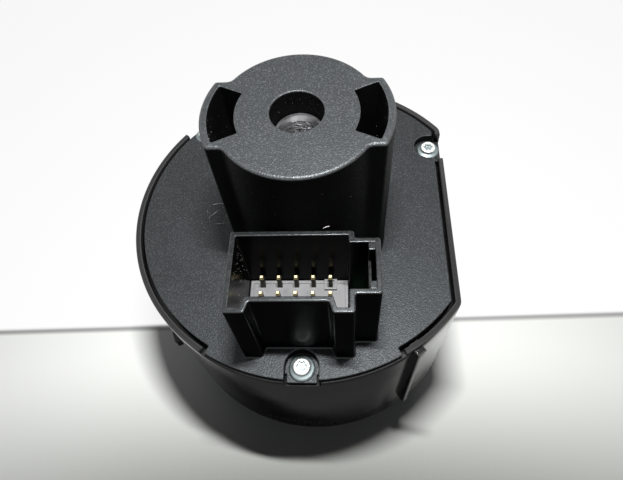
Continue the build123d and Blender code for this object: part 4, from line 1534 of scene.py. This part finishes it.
@dataclass(frozen=True)
class TableSheets(Finish):
    """Paper-like sheets in a row along y, which meet in the seam y = a + b x.

    The camera sees the far one white, in mirrors too, except in the seam, and the near one paler
    towards its front. The seam is a grey line of painted shade. The near sheet carries painted shade:
    darker round a point in front of the switch and towards the right, and, for all rays but the
    camera's, dark grey in front of the switch.
    """

    name: str = "table_sheets"
    seam: Pair = (-3.2, 0.031)
    seam_shade_half: Pair = (0.2, 1.1)
    blur: float = 0.4
    near_tone: Triple = (0.84, 0.85, 0.82)
    painted_right_shade_tone: Triple = (0.70, 0.71, 0.68)
    painted_right_shade_range: Pair = (-50.0, 70.0)
    far_tone: Triple = (0.93, 0.93, 0.92)
    painted_shade_tone: Triple = (0.17, 0.175, 0.16)
    painted_shade_centre: Triple = (5.0, -60.0, 0.0)
    painted_shade_stretch: Triple = (0.35, 1.0, 1.0)
    painted_shade_range: Pair = (12.0, 55.0)
    painted_front_shade_range: Pair = (-20.0, -31.0)
    glow_range: Pair = (-75.0, -280.0)
    far_glow: float = 0.88
    near_glow: float = 0.7

    def paint(self, g: Graph) -> None:
        """Joins the nodes."""
        x, y = g.node("ShaderNodeSeparateXYZ", {0: g.place}).outputs[:2]
        start, slope = self.seam
        beyond = g.math("SUBTRACT", y, g.math("ADD", g.times(x, slope), start * MM))
        far = g.ramp(beyond, (-self.blur, self.blur))
        # The seam: a thin grey line of painted shade where the sheets meet.
        inner, outer = self.seam_shade_half
        seam = g.times(g.ramp(beyond, (-outer, -inner)), g.ramp(beyond, (outer, inner)))
        fibre = g.noise(0.8, 4)
        # Painted shade: the near sheet darkens round a point in front of the switch.
        offset = g.vector("SUBTRACT", g.place, tuple(value * MM for value in self.painted_shade_centre))
        away = g.vector("LENGTH", g.vector("MULTIPLY", offset, self.painted_shade_stretch), result="Value")
        outside_painted_shade = g.ramp(away, self.painted_shade_range, interpolation_type="SMOOTHSTEP")
        # Painted shade: the near sheet darkens towards the right.
        near = g.blend(g.ramp(x, self.painted_right_shade_range), (*self.near_tone, 1), (*self.painted_right_shade_tone, 1))
        tone = g.blend(far, g.blend(outside_painted_shade, (*self.painted_shade_tone, 1), near), (*self.far_tone, 1))
        # Painted shade for all rays but the camera's: the near sheet turns dark grey in front of the switch.
        unseen = g.math("SUBTRACT", 1.0, g.node("ShaderNodeLightPath").outputs["Is Camera Ray"])
        tone = g.blend(g.times(unseen, g.ramp(y, self.painted_front_shade_range)), tone, grey(0.05))
        tone = g.blend(g.times(seam, 0.9), tone, grey(0.25))
        tone = g.blend(g.span(fibre, 0.3, 0.7, 0.0, 0.03), tone, grey(0.6))
        g.set(Base_Color=tone, Roughness=g.span(fibre, 0.3, 0.7, 0.75, 0.9), Normal=g.bump(fibre, 0.01))
        g.set(Specular_IOR_Level=0.1)
        # The seam's painted shade holds back the far sheet's glow there too.
        far_share = g.times(far, g.math("SUBTRACT", self.far_glow, g.times(seam, 0.75)))
        front_share = g.times(g.ramp(y, self.glow_range), self.near_glow)
        share = g.times(g.seen(), g.math("MAXIMUM", far_share, front_share))
        white = g.node("ShaderNodeEmission", {"Color": grey(1.0), "Strength": 1.0}).outputs[0]
        g.mix_out(share, g.tree.nodes["Principled BSDF"].outputs[0], white)


@dataclass(frozen=True)
class Lamp:
    """A soft rectangular lamp that points straight down, turned about the vertical. Sizes are in metres."""

    name: str
    place: Triple
    size: Pair
    power: float
    turn: float = 0.0

    def build(self) -> None:
        """Adds the lamp."""
        data = bpy.data.lights.new(self.name, "AREA")
        data.shape = "RECTANGLE"
        data.size, data.size_y = self.size
        data.energy = self.power
        lamp = bpy.data.objects.new(self.name, data)
        bpy.context.scene.collection.objects.link(lamp)
        lamp.location = self.place
        lamp.rotation_euler = (0.0, 0.0, self.turn)


@dataclass
class Studio:
    """The table, the light and the camera. The view's directions and the focal length fit the photo."""

    overhead: Lamp = Lamp("overhead", (0.0098, -0.0171, 0.163), (0.0216, 0.003), 0.36, -0.18)
    fill: Lamp = Lamp("fill", (-0.14, 0.30, 0.22), (0.25, 0.10), 0.2)
    back_card: Lamp = Lamp("back_card", (0.075, 0.239, 0.308), (0.13, 0.13), 0.07)
    reach: float = 1.6
    eye: Triple = (6.51, -51.20, 120.8)
    right: Triple = (0.9979, 0.0239, -0.0608)
    up: Triple = (0.0102, 0.8614, 0.5077)
    focal: float = 530.7
    width: float = 623.0
    sensor: float = 36.0
    surround: Quad = (0.93, 0.95, 1.0, 1.0)
    surround_strength: float = 0.06

    def table(self) -> None:
        """A flat square table that reaches the given number of metres each way."""
        mesh = bpy.data.meshes.new("table")
        corners = [(x * self.reach, y * self.reach, 0) for x, y in ((-1, -1), (1, -1), (1, 1), (-1, 1))]
        mesh.from_pydata(corners, [], [(0, 1, 2, 3)])
        mesh.materials.append(TableSheets().material())
        table = bpy.data.objects.new("table", mesh)
        bpy.context.scene.collection.objects.link(table)

    def light(self) -> None:
        """A narrow soft lamp overhead, two weak wide ones behind, and faint surroundings seen as white."""
        for lamp in (self.overhead, self.fill, self.back_card):
            lamp.build()
        world = bpy.data.worlds.new("studio")
        bpy.context.scene.world = world
        world.use_nodes = True
        g = Graph(world.node_tree)
        faint = world.node_tree.nodes["Background"]
        faint.inputs["Color"].default_value = self.surround
        faint.inputs["Strength"].default_value = self.surround_strength
        white = g.node("ShaderNodeBackground", {"Color": grey(1.0)})
        g.mix_out(g.seen(), faint.outputs[0], white.outputs[0])

    def camera(self) -> None:
        """The camera at the photo's angle: columns right, up and back, at the eye."""
        data = bpy.data.cameras.new("camera")
        data.sensor_width = self.sensor
        data.lens = self.focal / self.width * self.sensor
        camera = bpy.data.objects.new("camera", data)
        bpy.context.scene.collection.objects.link(camera)
        right = unit(np.array(self.right))
        back = unit(np.cross(right, self.up))
        matrix = np.eye(4)
        matrix[:3] = np.column_stack([right, np.cross(back, right), back, np.array(self.eye) * MM])
        camera.matrix_world = Matrix(matrix.tolist())
        data.clip_start = 0.005
        bpy.context.scene.camera = camera

    def build(self) -> None:
        """Sets up the table, the light and the camera."""
        self.table()
        self.light()
        self.camera()
        bpy.context.scene.view_settings.view_transform = "Standard"


def main() -> None:
    """Builds each sub-assembly in order, then the studio."""
    logging.basicConfig(level=logging.INFO, format="%(name)s %(message)s")
    for assembly in (RearCover, Housing, Front, Fasteners, Connector, Knob, Dust, InnerNodes, Studio):
        assembly().build()
        LOG.info("%s built", assembly.__name__)


if __name__ == "__main__":
    main()
